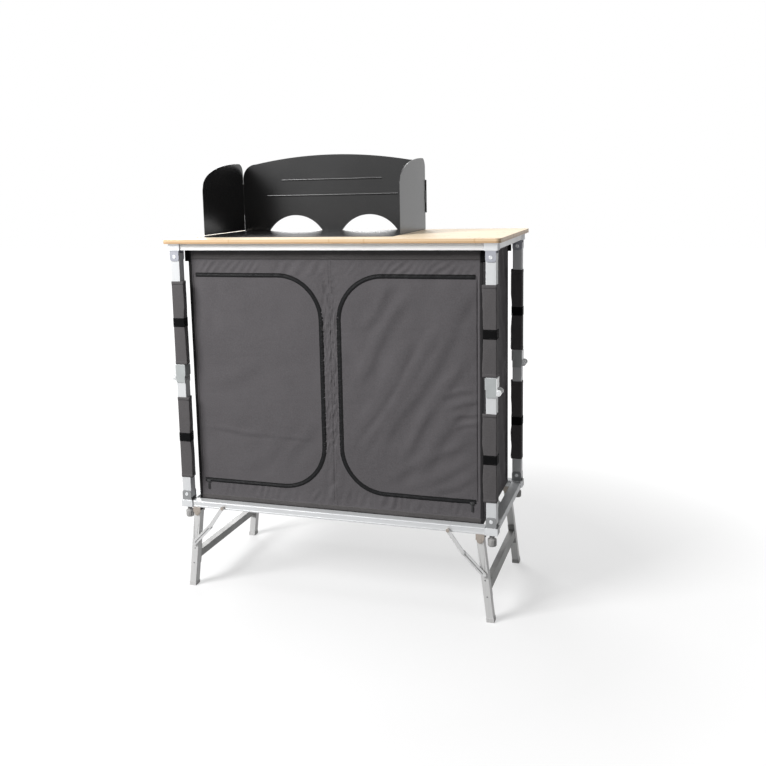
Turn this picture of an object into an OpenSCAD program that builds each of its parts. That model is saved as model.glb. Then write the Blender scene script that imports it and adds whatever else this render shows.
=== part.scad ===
// Folding camp kitchen cupboard with a bamboo worktop, a fabric cupboard,
// folding posts, folding legs and a three-sided windscreen.
// Millimetres, Z up, front towards -Y, origin on the floor under the middle.

/* [Frame] */
// width over the outer faces of the posts
frame_w = 960; // [900:5:1040]
// depth over the outer faces of the posts
frame_d = 460; // [430:5:520]
// side of the square post tube
post_t = 28; // [26:0.5:30]
// wall of the post tubes
post_wall = 1.6; // [1.2:0.1:2.2]
// height of the underside of the bottom rails over the floor
base_z = 254; // [244:1:275]
// height of every frame rail
rail_h = 20; // [18:0.5:24]
// wall of the rail tubes
rail_wall = 1.5; // [1.2:0.1:2.5]
// open height between the bottom rails and the top rails
rail_gap = 760; // [700:5:800]
// inward ledge of the bottom rails that carries the base board
ledge_w = 9; // [8:0.5:12]
// thickness of that ledge
ledge_t = 2; // [1.5:0.1:3]

/* [Folding posts] */
// height of each end pivot from the face of its rail
pivot_rise = 19; // [18.6:0.1:20]
// distance of the middle hinge pin outside the post face
hinge_out = 5.5; // [5.2:0.1:6.5]
// radius of the pivot pins
pin_r = 3; // [2.5:0.1:3.4]
// radial running clearance of a pin in a turning bore
pin_gap = 0.05; // [0.03:0.01:0.09]
// gap between a post and the cheeks on both sides of it
cheek_gap = 0.1; // [0.08:0.02:0.2]
// thickness of the bracket cheeks
cheek_t = 2.5; // [2:0.1:3]
// length of a post end beyond its pivot
end_over = 10.5; // [9:0.1:10.8]
// height of the solid hinge cap on each lower post half
cap_h = 7; // [6:0.5:10]
// depth of the cap's plug inside the post
plug_h = 24; // [15:1:40]
// gap between the two post halves at the middle hinge
butt_gap = 1; // [0.6:0.1:1.6]
// radius of the hinge cap's ear
ear_r = 5; // [4.6:0.1:5.1]
// radius of the collar's rounded hinge ear
collar_ear_r = 9; // [7:0.5:9.4]
// height of the collar on the upper post half
collar_h = 32; // [28:1:50]
// height at which the collar's outer wall starts over the pin
collar_rise = 7; // [6.5:0.5:9]
// length of the collar cheeks below the pin
cheek_drop = 14; // [12:0.5:16]

/* [Corner brackets] */
// side of the square corner castings
corner_w = 36; // [34:0.5:40]
// width of the bracket cheeks
cheek_w = 29; // [26:0.5:31]
// reach of the bracket cheeks past the end pivot
cheek_reach = 12; // [9:0.5:12.5]
// radius of the rounded cheek corners
cheek_round = 7; // [4:0.5:10]
// thickness of a corner casting over its rail face
corner_over = 1; // [0.5:0.1:1.2]
// radius of the screw heads
head_r = 5; // [4:0.1:5.5]
// thickness of the screw heads
head_t = 1.2; // [0.8:0.1:1.3]
// depth of the cross in the screw heads
cross_t = 0.7; // [0.4:0.1:0.8]
// width of the cross in the screw heads
cross_w = 1.3; // [0.8:0.1:1.8]

/* [Levelling knobs] */
// radius of the knob stems
stem_r = 7.5; // [6:0.5:9]
// length of the knob stems below the casting
stem_h = 14; // [12:0.5:20]
// radius of the rubber knobs
knob_r = 12.5; // [10:0.5:15]
// height of the rubber knobs
knob_h = 21; // [16:0.5:24]
// bevel of the knob rims
knob_bevel = 3; // [1:0.5:5]

/* [Worktop] */
// width of the worktop board
top_w = 990; // [965:5:1060]
// depth of the worktop board
top_d = 500; // [490:5:560]
// thickness of the worktop board
top_t = 12; // [9:0.5:18]
// radius of the worktop corners
top_r = 14; // [5:1:40]

/* [Legs] */
// distance of the leg pivots inside the post faces
leg_in = 45; // [42:0.5:60]
// drop of the leg pivots below the rails
leg_drop = 18; // [17:0.5:22]
// splay of the legs at the floor
leg_splay = 28.4; // [22:0.2:32]
// width of the leg tube seen from the front
leg_w = 20; // [18:0.5:22]
// depth of the leg tube
leg_d = 25; // [22:0.5:28]
// wall of the leg tube
leg_wall = 1.6; // [1.2:0.1:2.2]
// length of the leg above its pivot
leg_over = 9; // [7:0.5:9.5]
// length of the rounded foot caps
foot_h = 12; // [8:1:20]
// thickness of the foot cap's wall round the leg
foot_t = 1; // [0.8:0.1:1.6]
// thickness of the foot cap's floor
foot_floor = 4; // [3:0.5:8]
// height of the crossbar tube
bar_h = 25; // [20:0.5:30]
// width of the crossbar tube
bar_w = 18; // [15:0.5:20]
// distance of the crossbar below the leg pivot, along the leg
bar_drop = 139; // [125:1:150]
// length of the crossbar's end plates along the leg
plate_h = 60; // [50:1:70]
// thickness of the end plates
plate_t = 3; // [2:0.5:5]
// half distance between the screws of an end plate
plate_screw = 24; // [20:0.5:26]

/* [Folding struts] */
// distance of the strut's rail pivot inside the post face
strut_in = 134; // [126:1:142]
// height of the strut's rail pivot over the underside of the rail
strut_up = 6; // [6:0.5:9]
// distance of the strut's leg pivot below the leg pivot
strut_down = 96; // [88:1:100]
// share of the strut that is its rail half
strut_split = 0.48; // [0.46:0.01:0.52]
// bend of the open strut at its elbow
strut_bend = 6; // [3:0.5:8]
// width of the strut bars
strut_w = 14; // [11:0.5:15]
// thickness of the strut bars
strut_t = 2.8; // [2:0.1:3.2]
// gap beside each strut bar
strut_gap = 0.2; // [0.1:0.05:0.4]
// distance of the strut bars from the outer faces of the rail and the leg
strut_off = 4; // [3.9:0.1:5]
// radius of the strut rivets
rivet_r = 2.5; // [2:0.1:3]

/* [Cupboard] */
// distance of the cupboard's sides inside the outer faces of the posts
bag_side = 42; // [41.5:0.5:60]
// gap between the cupboard's front and the plane behind the posts
bag_in = 5; // [4.6:0.1:7]
// thickness of the cloth walls
cloth_t = 1.2; // [0.8:0.1:1.6]
// gap between the cloth and the worktop
bag_gap = 2; // [1:0.5:3]
// thickness of the base board
board_t = 5; // [4:0.5:6]
// thickness of the shelf
shelf_t = 3; // [2:0.5:8]
// height of the shelf over the base board
shelf_h = 372; // [330:2:410]
// gap round the edge of the shelf
shelf_gap = 2; // [1:0.5:5]
// distance of the door edges from the middle of the cupboard
door_mid = 27; // [22:1:40]
// distance of the door hinge lines inside the cupboard's sides
door_side = 14; // [10:1:24]
// height of the doors' lower edge over the underside of the rails
door_low = 80; // [70:1:100]
// height of the doors
door_h = 626; // [580:2:640]
// radius of the doors' rounded corners
door_r = 130; // [90:2:160]
// width of each half of a zip, on the wall and on the door
zip_w = 5.5; // [4:0.5:7]
// distance of the zip ends from the door's hinge line
zip_end = 6; // [4:0.5:10]
// thickness of the zip tapes
zip_t = 0.8; // [0.5:0.1:1]
// slit between a door and its zip tape
slit = 0.5; // [0.4:0.1:1]
// width of the zip sliders
slider_w = 9; // [7:0.5:12]
// height of the zip sliders
slider_h = 13; // [10:0.5:16]
// thickness of the zip sliders
slider_t = 1.8; // [1.4:0.1:2]
// gap between a slider and its zip
slider_gap = 0.3; // [0.2:0.05:0.5]
// length of the hanging zip pulls
pull_l = 24; // [16:1:30]
// distance of a closed slider from the door's hinge line
slider_in = 17; // [14:1:30]
// width of the webbing corner tabs
tab_w = 15; // [10:0.5:18]
// length of the webbing corner tabs
tab_h = 34; // [26:1:45]
// thickness of the webbing corner tabs
tab_t = 1; // [0.8:0.1:1.2]
// gap between a tab and the folded post beside it
tab_gap = 0.6; // [0.3:0.1:1]

/* [Post sleeves] */
// length of every sleeve
sleeve_h = 248; // [220:2:254]
// distance of the sleeve ends from the middle hinge, lower halves
sleeve_low = 59; // [52:1:66]
// gap between the collar and the sleeve over it
sleeve_up = 2; // [0.5:0.5:12]
// slack between a sleeve and its post
sleeve_gap = 0; // [0:0.05:0.3]
// slack of a sleeve on the inner side of its post
sleeve_slack = 2.6; // [1:0.1:2.8]
// thickness of the sleeve cloth
sleeve_t = 0.8; // [0.6:0.1:1]
// height of the hook-and-loop straps
strap_h = 26; // [18:1:32]
// thickness of the straps
strap_t = 0.9; // [0.6:0.1:1]
// distance of the strap ends from the back of the sleeve
strap_back = 4; // [2:0.5:10]
// distance of the upper strap from the top of its sleeve
strap_up = 113; // [90:1:130]
// distance of the lower strap from the top of its sleeve
strap_low = 113; // [90:1:130]

/* [Windscreen] */
// width of the windscreen
screen_w = 621; // [600:1:640]
// distance of the windscreen from the left end of the worktop
screen_in = 49.5; // [40:0.5:70]
// distance of the windscreen's back from the back edge of the worktop
screen_back = 32; // [28:1:45]
// height of the windscreen's back in the middle
screen_h = 241; // [220:1:260]
// drop of the back's curved top towards its corners
screen_sag = 34; // [20:1:45]
// radius of the back's top corners
screen_r = 48; // [30:1:60]
// thickness of the sheet
sheet_t = 1.2; // [0.8:0.1:1.5]
// depth of the side wings
wing_d = 290; // [260:1:305]
// height of the side wings
wing_h = 218; // [200:1:225]
// height of a wing's straight front edge
wing_front = 130; // [110:1:150]
// radius of a wing's rear top corner
wing_r = 30; // [15:1:45]
// depth of the base tray
tray_d = 363; // [330:1:380]
// gap between a wing and the tray
wing_gap = 1; // [0.5:0.1:2]
// distance of the arches from the middle of the back
arch_x = 127; // [115:1:140]
// half width of an arch
arch_w = 92; // [80:1:100]
// height of an arch
arch_h = 49; // [40:1:56]
// length of the upper embossed rib
rib_top = 342; // [300:2:380]
// length of the lower embossed rib
rib_low = 448; // [400:2:480]
// height of the upper rib over the tray
rib_z = 163; // [150:1:175]
// distance between the two ribs
rib_step = 50; // [40:1:60]
// radius of the rib's round back
rib_r = 4; // [3:0.5:6]
// rise of a rib out of the sheet
rib_rise = 1.6; // [1:0.1:2.4]
// length of the wing hinges
hinge_l = 101; // [80:1:120]
// height of the wing hinges over the tray
hinge_z = 52; // [40:1:70]
// radius of the wing hinge barrels
barrel_r = 2; // [1.8:0.1:2.6]
// radius of the wing hinge pins
hinge_pin_r = 0.9; // [0.7:0.05:1.1]
// width of the wing hinge leaves
leaf_w = 13; // [10:0.5:18]
// thickness of the wing hinge leaves
leaf_t = 1; // [0.8:0.1:1.2]

/* [Hidden] */
$fn = 48;

// frame heights and post places
post_x = (frame_w - post_t) / 2;
post_y = (frame_d - post_t) / 2;
low_rail_top = base_z + rail_h;
top_rail_z = low_rail_top + rail_gap;
top_z = top_rail_z + rail_h;
low_pin_z = low_rail_top + pivot_rise;
top_pin_z = top_rail_z - pivot_rise;
mid_z = (low_pin_z + top_pin_z) / 2;
pin_x = post_t / 2 + hinge_out;
post_in = post_t / 2 - post_wall;
cheek_y = post_t / 2 + cheek_gap;
cheek_end = cheek_y + cheek_t;
work_z = top_z + top_t;

// legs and struts, measured inwards from the post's outer face
leg_pin_z = base_z - leg_drop;
leg_a = atan(leg_splay / leg_pin_z);
leg_len = leg_pin_z / cos(leg_a);
leg_y = frame_d / 2 - leg_d / 2;
foot_x = leg_in - leg_splay;
rail_joint_z = base_z + strut_up;
leg_joint_x = leg_in - sin(leg_a) * strut_down;
leg_joint_z = leg_pin_z - cos(leg_a) * strut_down;
rail_joint = [strut_in, rail_joint_z];
leg_joint = [leg_joint_x, leg_joint_z];
strut_v = leg_joint - rail_joint;
strut_n = strut_v / norm(strut_v);
elbow = rail_joint + strut_v * strut_split + [-strut_n[1], strut_n[0]] * strut_bend;
leg_bar_y = frame_d / 2 + strut_off;
rail_bar_y = leg_bar_y + strut_t + strut_gap;

// cupboard walls
bag_y = frame_d / 2 - post_t - bag_in;
bag_x = frame_w / 2 - bag_side;
bag_w = 2 * bag_x;
ledge_z = low_rail_top - board_t - ledge_t - 1;
board_z = ledge_z + ledge_t;
bag_z = board_z + board_t;
bag_top = top_z - bag_gap;
door_z = base_z + door_low;
hinge_x = bag_x - door_side;
slider_x = hinge_x - slider_in;
shelf_z = board_z + board_t + shelf_h;

// windscreen places
tray_z = work_z;
sheet_z = tray_z + sheet_t;
screen_half = screen_w / 2;
screen_x = screen_half + screen_in - top_w / 2;
screen_y = top_d / 2 - screen_back;
barrel_x = screen_half + leaf_t + barrel_r - 0.5;
barrel_y = screen_y + leaf_t + barrel_r - 0.5;
arc_r = (pow(screen_half, 2) + pow(screen_sag, 2)) / (2 * screen_sag);
arch_r = (pow(arch_w, 2) + pow(arch_h, 2)) / (2 * arch_h);

// puts a piece built for the front right corner at any corner
module corner(sx, sy) {
    translate([sx * post_x, -sy * post_y, 0])
        mirror([sx < 0 ? 1 : 0, 0, 0])
            mirror([0, sy < 0 ? 1 : 0, 0])
                children();
}

// mirrors a piece built on the right to the left side
module side(sx) {
    mirror([sx < 0 ? 1 : 0, 0, 0]) children();
}

// mirrors a piece built at the front to the back
module face(sy) {
    mirror([0, sy < 0 ? 1 : 0, 0]) children();
}

// box centred in X and Y, standing on z
module slab(x, y, z, h) {
    translate([-x / 2, -y / 2, z]) cube([x, y, h]);
}

// rod along Y, centred on y
module rod(x, y, z, r, l) {
    translate([x, y + l / 2, z]) rotate([90, 0, 0]) cylinder(r = r, h = l);
}

// screw head whose flat face is at y, with its cross on the side s
module screw_head(x, y, z, r, s) {
    difference() {
        rod(x, y + s * head_t / 2, z, r, head_t);
        for (w = [[0.7 * r, cross_w / 2], [cross_w / 2, 0.7 * r]])
            translate([x - w[0], y + s * head_t - cross_t, z - w[1]])
                cube([2 * w[0], 2 * cross_t, 2 * w[1]]);
    }
}

// plate in the X-Z plane with rounded ends, from one point to another
module link(a, b, w, y, t) {
    v = b - a;
    l = norm(v);
    translate([a[0], y, a[1]])
        rotate([0, -atan2(v[1], v[0]), 0]) {
            translate([0, 0, -w / 2]) cube([l, t, w]);
            for (x = [0, l]) rod(x, t / 2, 0, w / 2, t);
        }
}

// hollow rail along X
module tube_x(l, w, h, wall, z) {
    difference() {
        slab(l, w, z, h);
        slab(l + 2, w - 2 * wall, z + wall, h - 2 * wall);
    }
}

// hollow rail along Y
module tube_y(l, w, h, wall, z) {
    difference() {
        slab(w, l, z, h);
        slab(w - 2 * wall, l + 2, z + wall, h - 2 * wall);
    }
}

// lower half of a folding post
module lower_post(sx, sy) color("silver") corner(sx, sy) {
    z0 = low_pin_z - end_over;
    z1 = mid_z - butt_gap - cap_h;
    difference() {
        slab(post_t, post_t, z0, z1 - z0);
        slab(2 * post_in, 2 * post_in, z0 - 1, z1 - z0 + 2);
        rod(0, 0, low_pin_z, pin_r + pin_gap, post_t + 2);
    }
}

// solid cap of the lower half, with a plug inside the tube and the hinge ear
module hinge_cap(sx, sy) color("gainsboro") corner(sx, sy) {
    z1 = mid_z - butt_gap;
    difference() {
        union() {
            slab(post_t, post_t, z1 - cap_h, cap_h);
            slab(2 * post_in - 0.1, 2 * post_in - 0.1, z1 - cap_h - plug_h, plug_h);
            translate([0, -post_t / 2, z1 - cap_h]) cube([pin_x, post_t, cap_h]);
            rod(pin_x, 0, mid_z, ear_r, post_t);
        }
        rod(pin_x, 0, mid_z, pin_r + pin_gap, post_t + 2);
    }
}

// upper half of a folding post
module upper_post(sx, sy) color("silver") corner(sx, sy) {
    z0 = mid_z + butt_gap;
    z1 = top_pin_z + end_over;
    difference() {
        slab(post_t, post_t, z0, z1 - z0);
        slab(2 * post_in, 2 * post_in, z0 - 1, z1 - z0 + 2);
        rod(0, 0, top_pin_z, pin_r + pin_gap, post_t + 2);
    }
}

// collar of the upper half: a ring, two cheeks beside the hinge and the hinge pin
module mid_collar(sx, sy) color("slategray") corner(sx, sy) {
    ring_z = mid_z + collar_rise;
    difference() {
        union() {
            slab(post_t + 2 * cheek_t, 2 * cheek_end, ring_z, collar_h);
            for (y = [-cheek_end, cheek_y]) {
                translate([-post_t / 2, y, mid_z - cheek_drop])
                    cube([post_t, cheek_t, cheek_drop + collar_rise + 1]);
                translate([0, y, mid_z - collar_ear_r]) cube([pin_x, cheek_t, 2 * collar_ear_r]);
                rod(pin_x, y + cheek_t / 2, mid_z, collar_ear_r, cheek_t);
            }
        }
        slab(post_t, post_t, ring_z - 1, collar_h + 2);
        rod(pin_x, 0, mid_z, pin_r, 2 * cheek_end + 2);
    }
    rod(pin_x, 0, mid_z, pin_r, 2 * cheek_end);
    for (s = [-1, 1]) screw_head(pin_x, s * cheek_end, mid_z, head_r, s);
}

// cloth sleeve round a post half, slack on its inner side, with its hook-and-loop strap
module sleeve(sx, sy, z, strap_z) corner(sx, sy) {
    i = post_t / 2 + sleeve_gap;
    o = i + sleeve_t;
    s = o + strap_t;
    color("dimgray") difference() {
        translate([-o - sleeve_slack, -o, z]) cube([2 * o + sleeve_slack, 2 * o, sleeve_h]);
        translate([-i - sleeve_slack, -i, z - 1])
            cube([2 * i + sleeve_slack, 2 * i, sleeve_h + 2]);
    }
    color("black") difference() {
        translate([-s - sleeve_slack, -s, strap_z])
            cube([2 * s + sleeve_slack, s + o - strap_back, strap_h]);
        translate([-o - sleeve_slack, -o, strap_z - 1])
            cube([2 * o + sleeve_slack, 2 * o, strap_h + 2]);
    }
}

// sleeve of a lower post half
module lower_sleeve(sx, sy) {
    z1 = mid_z - sleeve_low;
    sleeve(sx, sy, z1 - sleeve_h, z1 - strap_low - strap_h);
}

// sleeve of an upper post half
module upper_sleeve(sx, sy) {
    z0 = mid_z + collar_rise + collar_h + sleeve_up;
    sleeve(sx, sy, z0, z0 + sleeve_h - strap_up - strap_h);
}

// rounded cheek of a corner bracket, from a casting face at z0 to past the pin
module cheek(z0, pz, up) {
    reach = abs(pz - z0) + cheek_reach;
    r = min(cheek_round, cheek_w / 2);
    for (y = [-cheek_end, cheek_y]) {
        mirror([0, 0, up < 0 ? 1 : 0]) translate([0, 0, up < 0 ? -z0 : z0]) {
            translate([-cheek_w / 2, y, -0.5]) cube([cheek_w, cheek_t, reach - r + 0.5]);
            translate([-cheek_w / 2 + r, y, 0]) cube([cheek_w - 2 * r, cheek_t, reach]);
            for (s = [-1, 1]) rod(s * (cheek_w / 2 - r), y + cheek_t / 2, reach - r, r, cheek_t);
        }
    }
}

// pin with two heads through the cheeks of a corner bracket
module end_pin(z) {
    rod(0, 0, z, pin_r, 2 * cheek_end);
    for (s = [-1, 1]) screw_head(0, s * cheek_end, z, head_r, s);
}

// corner castings of the bottom frame, with the pins of the lower post halves
module lower_corner_brackets() color("lightslategray")
    for (sx = [-1, 1], sy = [-1, 1]) corner(sx, sy) {
        difference() {
            union() {
                slab(corner_w, corner_w, base_z, rail_h + corner_over);
                cheek(low_rail_top + corner_over, low_pin_z, 1);
            }
            rod(0, 0, low_pin_z, pin_r, 2 * corner_w);
        }
        end_pin(low_pin_z);
    }

// corner castings of the top frame, with the pins of the upper post halves
module top_corner_brackets() color("lavender")
    for (sx = [-1, 1], sy = [-1, 1]) corner(sx, sy) {
        difference() {
            union() {
                slab(corner_w, corner_w, top_rail_z - corner_over, rail_h + corner_over);
                cheek(top_rail_z - corner_over, top_pin_z, -1);
            }
            rod(0, 0, top_pin_z, pin_r, 2 * corner_w);
        }
        end_pin(top_pin_z);
    }

// front and back rails of the bottom frame, with the ledge for the base board
module bottom_long_rails() color("silver") for (sy = [-1, 1]) face(sy) {
    l = 2 * post_x - corner_w;
    translate([0, -post_y, 0]) tube_x(l, post_t, rail_h, rail_wall, base_z);
    translate([-l / 2, -post_y + post_t / 2, ledge_z]) cube([l, ledge_w, ledge_t]);
}

// side rails of the bottom frame
module bottom_side_rails() color("silver") for (sx = [-1, 1])
    translate([sx * post_x, 0, 0])
        tube_y(2 * post_y - corner_w, post_t, rail_h, rail_wall, base_z);

// front and back rails of the top frame
module top_long_rails() color("silver") for (sy = [-1, 1])
    translate([0, sy * post_y, 0])
        tube_x(2 * post_x - corner_w, post_t, rail_h, rail_wall, top_rail_z);

// side rails of the top frame
module top_side_rails() color("silver") for (sx = [-1, 1])
    translate([sx * post_x, 0, 0])
        tube_y(2 * post_y - corner_w, post_t, rail_h, rail_wall, top_rail_z);

// rubber knobs that the folded cupboard stands on
module levelling_knobs() color("dimgray") for (sx = [-1, 1], sy = [-1, 1])
    translate([sx * post_x, sy * post_y, 0]) rotate_extrude() polygon([
        [0, base_z], [stem_r, base_z], [stem_r, base_z - stem_h],
        [knob_r, base_z - stem_h], [knob_r, base_z - stem_h - knob_h + knob_bevel],
        [knob_r - knob_bevel, base_z - stem_h - knob_h], [0, base_z - stem_h - knob_h]]);

// board with four round corners
module round_board(w, d, r, z, t) {
    translate([0, 0, z]) linear_extrude(t) union() {
        square([w - 2 * r, d], center = true);
        square([w, d - 2 * r], center = true);
        for (x = [-1, 1], y = [-1, 1])
            translate([x * (w / 2 - r), y * (d / 2 - r)]) circle(r = r);
    }
}

module worktop() color("burlywood") round_board(top_w, top_d, top_r, top_z, top_t);

// board inside the bottom of the cupboard, on the ledges
module base_board() color("dimgray")
    slab(bag_w - 2 * cloth_t, 2 * bag_y - 0.4, board_z, board_t);

// shelf halfway up, hung from the cloth
module shelf() color("dimgray")
    slab(bag_w - 2 * (cloth_t + shelf_gap), 2 * (bag_y - cloth_t - shelf_gap), shelf_z, shelf_t);

// U brackets under the rails, their leg pins and the rivets of the struts
module leg_brackets() color("tan") for (sx = [-1, 1], sy = [-1, 1]) side(sx) face(sy) {
    x = frame_w / 2 - leg_in;
    e = leg_d / 2 + strut_gap;
    translate([x, -leg_y, 0]) {
        difference() {
            union() {
                slab(leg_w + 4, 2 * (e + 2), base_z - 2, 2);
                for (s = [-1, 1]) translate([0, s * (e + 1), 0]) {
                    slab(leg_w + 4, 2, leg_pin_z + 2, base_z - leg_pin_z - 2);
                    rod(0, 0, leg_pin_z + 1, 9, 2);
                }
            }
            rod(0, 0, leg_pin_z, pin_r, 3 * leg_d);
        }
        rod(0, 0, leg_pin_z, pin_r, 2 * (e + 2));
        rod(0, -e - 2 - head_t / 2, leg_pin_z, head_r, head_t);
    }
    translate([frame_w / 2 - rail_joint[0], 0, rail_joint[1]]) {
        rod(0, -(frame_d / 2 + rail_bar_y + strut_t) / 2, 0, rivet_r, rail_bar_y + strut_t - frame_d / 2);
        rod(0, -(frame_d / 2 + rail_bar_y - strut_gap) / 2, 0, rivet_r + 2,
            rail_bar_y - strut_gap - frame_d / 2);
        rod(0, -rail_bar_y - strut_t - head_t / 2, 0, head_r, head_t);
    }
}

// turns a piece drawn along -Z from the leg pivot into the splayed leg
module splayed() {
    translate([frame_w / 2 - leg_in, -leg_y, leg_pin_z]) rotate([0, -leg_a, 0]) children();
}

// one leg tube
module leg(sx, sy) color("silver") side(sx) face(sy) difference() {
    splayed() difference() {
        slab(leg_w, leg_d, -leg_len + foot_floor, leg_len + leg_over - foot_floor);
        slab(leg_w - 2 * leg_wall, leg_d - 2 * leg_wall, -leg_len - 1, leg_len + leg_over + 2);
        rod(0, 0, 0, pin_r + pin_gap, leg_d + 2);
        rod(0, -leg_d / 2, -strut_down, rivet_r, 3 * leg_wall);
    }
}

// top plugs, foot caps and strut rivets of one set of legs
module leg_fittings(sx) color("black") for (sy = [-1, 1]) side(sx) face(sy) {
    rivet_l = strut_off + strut_t + leg_wall + 1;
    spacer = strut_off - strut_gap;
    splayed() {
        difference() {
            slab(leg_w - 2 * leg_wall - 0.1, leg_d - 2 * leg_wall - 0.1, -14, 14 + leg_over);
            rod(0, 0, 0, pin_r + pin_gap, leg_d + 2);
        }
        slab(leg_w, leg_d, leg_over, 1);
        rod(0, -leg_d / 2 - strut_off - strut_t + rivet_l / 2, -strut_down, rivet_r, rivet_l);
        rod(0, -leg_d / 2 - spacer / 2, -strut_down, rivet_r + 2, spacer);
    }
    difference() {
        splayed() difference() {
            slab(leg_w + 2 * foot_t, leg_d + 2 * foot_t, -leg_len - 5, foot_h + 5);
            slab(leg_w, leg_d, -leg_len + foot_floor, foot_h);
        }
        translate([0, -frame_d, -20]) cube([frame_w, 2 * frame_d, 20]);
    }
}

// bar between the two legs of a set, with its end plates and screws
module crossbar(sx) color("gray") side(sx) {
    inner = frame_d / 2 - leg_d;
    translate([frame_w / 2 - leg_in, 0, leg_pin_z]) rotate([0, -leg_a, 0]) {
        difference() {
            slab(bar_w, 2 * (inner - plate_t), -bar_drop - bar_h / 2, bar_h);
            slab(bar_w - 3, 2 * inner + 2, -bar_drop - bar_h / 2 + 1.5, bar_h - 3);
        }
        for (s = [-1, 1]) {
            translate([0, s * (inner - plate_t / 2), 0])
                slab(leg_w, plate_t, -bar_drop - plate_h / 2, plate_h);
            for (z = [-plate_screw, plate_screw])
                rod(0, s * (inner - plate_t - head_t / 2), -bar_drop + z, 3.5, head_t);
        }
    }
}

// rail halves of one side's two struts, each with its elbow rivet's head
module strut_rail_bars(sx) color("silver") for (sy = [-1, 1]) side(sx) face(sy)
    translate([frame_w / 2, 0, 0]) mirror([1, 0, 0]) {
        difference() {
            link(rail_joint, elbow, strut_w - 3, -rail_bar_y - strut_t, strut_t);
            rod(rail_joint[0], -rail_bar_y - strut_t / 2, rail_joint[1], rivet_r + pin_gap, 20);
        }
        rod(elbow[0], -rail_bar_y - strut_t - head_t / 2, elbow[1], head_r - 1, head_t);
    }

// leg halves of one side's two struts, each with its leg rivet
module strut_leg_bars(sx) color("silver") for (sy = [-1, 1]) side(sx) face(sy)
    translate([frame_w / 2, 0, 0]) mirror([1, 0, 0]) difference() {
        link(elbow, leg_joint, strut_w, -leg_bar_y - strut_t, strut_t);
        for (p = [elbow, leg_joint]) rod(p[0], -leg_bar_y - strut_t / 2, p[1], rivet_r + pin_gap, 20);
    }

// outline of a door in the X-Z plane: straight at its hinge, round at its free edge
module door_shape(grow) {
    x0 = hinge_x;
    x1 = door_mid - grow;
    z0 = door_z - grow;
    z1 = door_z + door_h + grow;
    r = door_r + grow;
    union() {
        translate([x1 + r, z0]) square([x0 - x1 - r, z1 - z0]);
        translate([x1, z0 + r]) square([r + 1, z1 - z0 - 2 * r]);
        for (z = [z0 + r, z1 - r]) translate([x1 + r, z]) circle(r = r, $fn = 96);
    }
}

// stands a shape drawn in X-Z upright as a plate whose outer face is at -y
module upright(y, t) {
    translate([0, -y + t, 0]) rotate([90, 0, 0]) linear_extrude(t) children();
}

// front wall, cut out for both doors
module cupboard_front() color("dimgray") upright(bag_y, cloth_t) difference() {
    translate([-bag_x, bag_z]) square([bag_w, bag_top - bag_z]);
    for (s = [0, 1]) mirror([s, 0]) door_shape(slit);
}

module cupboard_back() color("dimgray") face(-1) upright(bag_y, cloth_t)
    translate([-bag_x, bag_z]) square([bag_w, bag_top - bag_z]);

module cupboard_sides() color("dimgray") for (s = [-1, 1])
    translate([s * (bag_x - cloth_t / 2), 0, 0])
        slab(cloth_t, 2 * (bag_y - cloth_t), bag_z, bag_top - bag_z);

// door with its half of the zip round its free edges
module door(sx) color("gray") side(sx) {
    upright(bag_y, cloth_t) door_shape(0);
    upright(bag_y + zip_t, zip_t) difference() {
        door_shape(0);
        door_shape(-zip_w);
        translate([hinge_x - zip_end, 0]) square([door_side + zip_end, top_z]);
    }
}

// the halves of the two zips on the front wall round the doors
module zip_tapes() color("black") upright(bag_y + zip_t, zip_t)
    for (s = [0, 1]) mirror([s, 0]) difference() {
        door_shape(slit + zip_w);
        door_shape(slit);
        translate([hinge_x - zip_end, 0]) square([door_side + zip_end, top_z]);
    }

// zip slider with its hanging pull
module zip_slider(sx) color("black") side(sx) {
    z = door_z - slit - slider_w / 2;
    y = bag_y + zip_t + slider_gap;
    translate([slider_x, -y - slider_t, z]) {
        translate([-slider_h / 2, 0, -slider_w / 2]) cube([slider_h, slider_t, slider_w]);
        translate([-3, 0, -pull_l]) cube([6, slider_t - 0.4, pull_l]);
    }
}

// webbing tabs on the inner faces of the top rails, at the cupboard's corners
module corner_tabs() color("black") for (sx = [-1, 1], sy = [-1, 1]) side(sx) face(sy)
    translate([post_x - corner_w / 2 - tab_w, -post_y + post_t / 2, top_rail_z]) {
        cube([tab_w, tab_t + tab_gap, rail_h - 2]);
        translate([0, tab_gap, -tab_h]) cube([tab_w, tab_t, tab_h + 1]);
    }

// flat base tray of the windscreen
module windscreen_tray() color("dimgray")
    translate([screen_x - screen_half, screen_y - tray_d, tray_z])
        cube([screen_w, tray_d, sheet_t]);

// outline of the back: curved top, round corners and two arches at the foot
module back_shape() {
    z1 = screen_h - arc_r + sqrt(pow(arc_r, 2) - pow(screen_half - screen_r, 2)) - screen_r;
    difference() {
        union() {
            intersection() {
                translate([0, screen_h - arc_r]) circle(r = arc_r, $fn = 360);
                translate([-screen_half + screen_r, 0]) square([screen_w - 2 * screen_r, screen_h]);
            }
            translate([-screen_half, 0]) square([screen_w, z1]);
            for (s = [-1, 1]) translate([s * (screen_half - screen_r), z1])
                circle(r = screen_r, $fn = 72);
        }
        for (s = [-1, 1]) intersection() {
            translate([s * arch_x, arch_h - arch_r]) circle(r = arch_r, $fn = 180);
            translate([s * arch_x - arch_w, -1]) square([2 * arch_w, arch_h + 2]);
        }
    }
}

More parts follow.
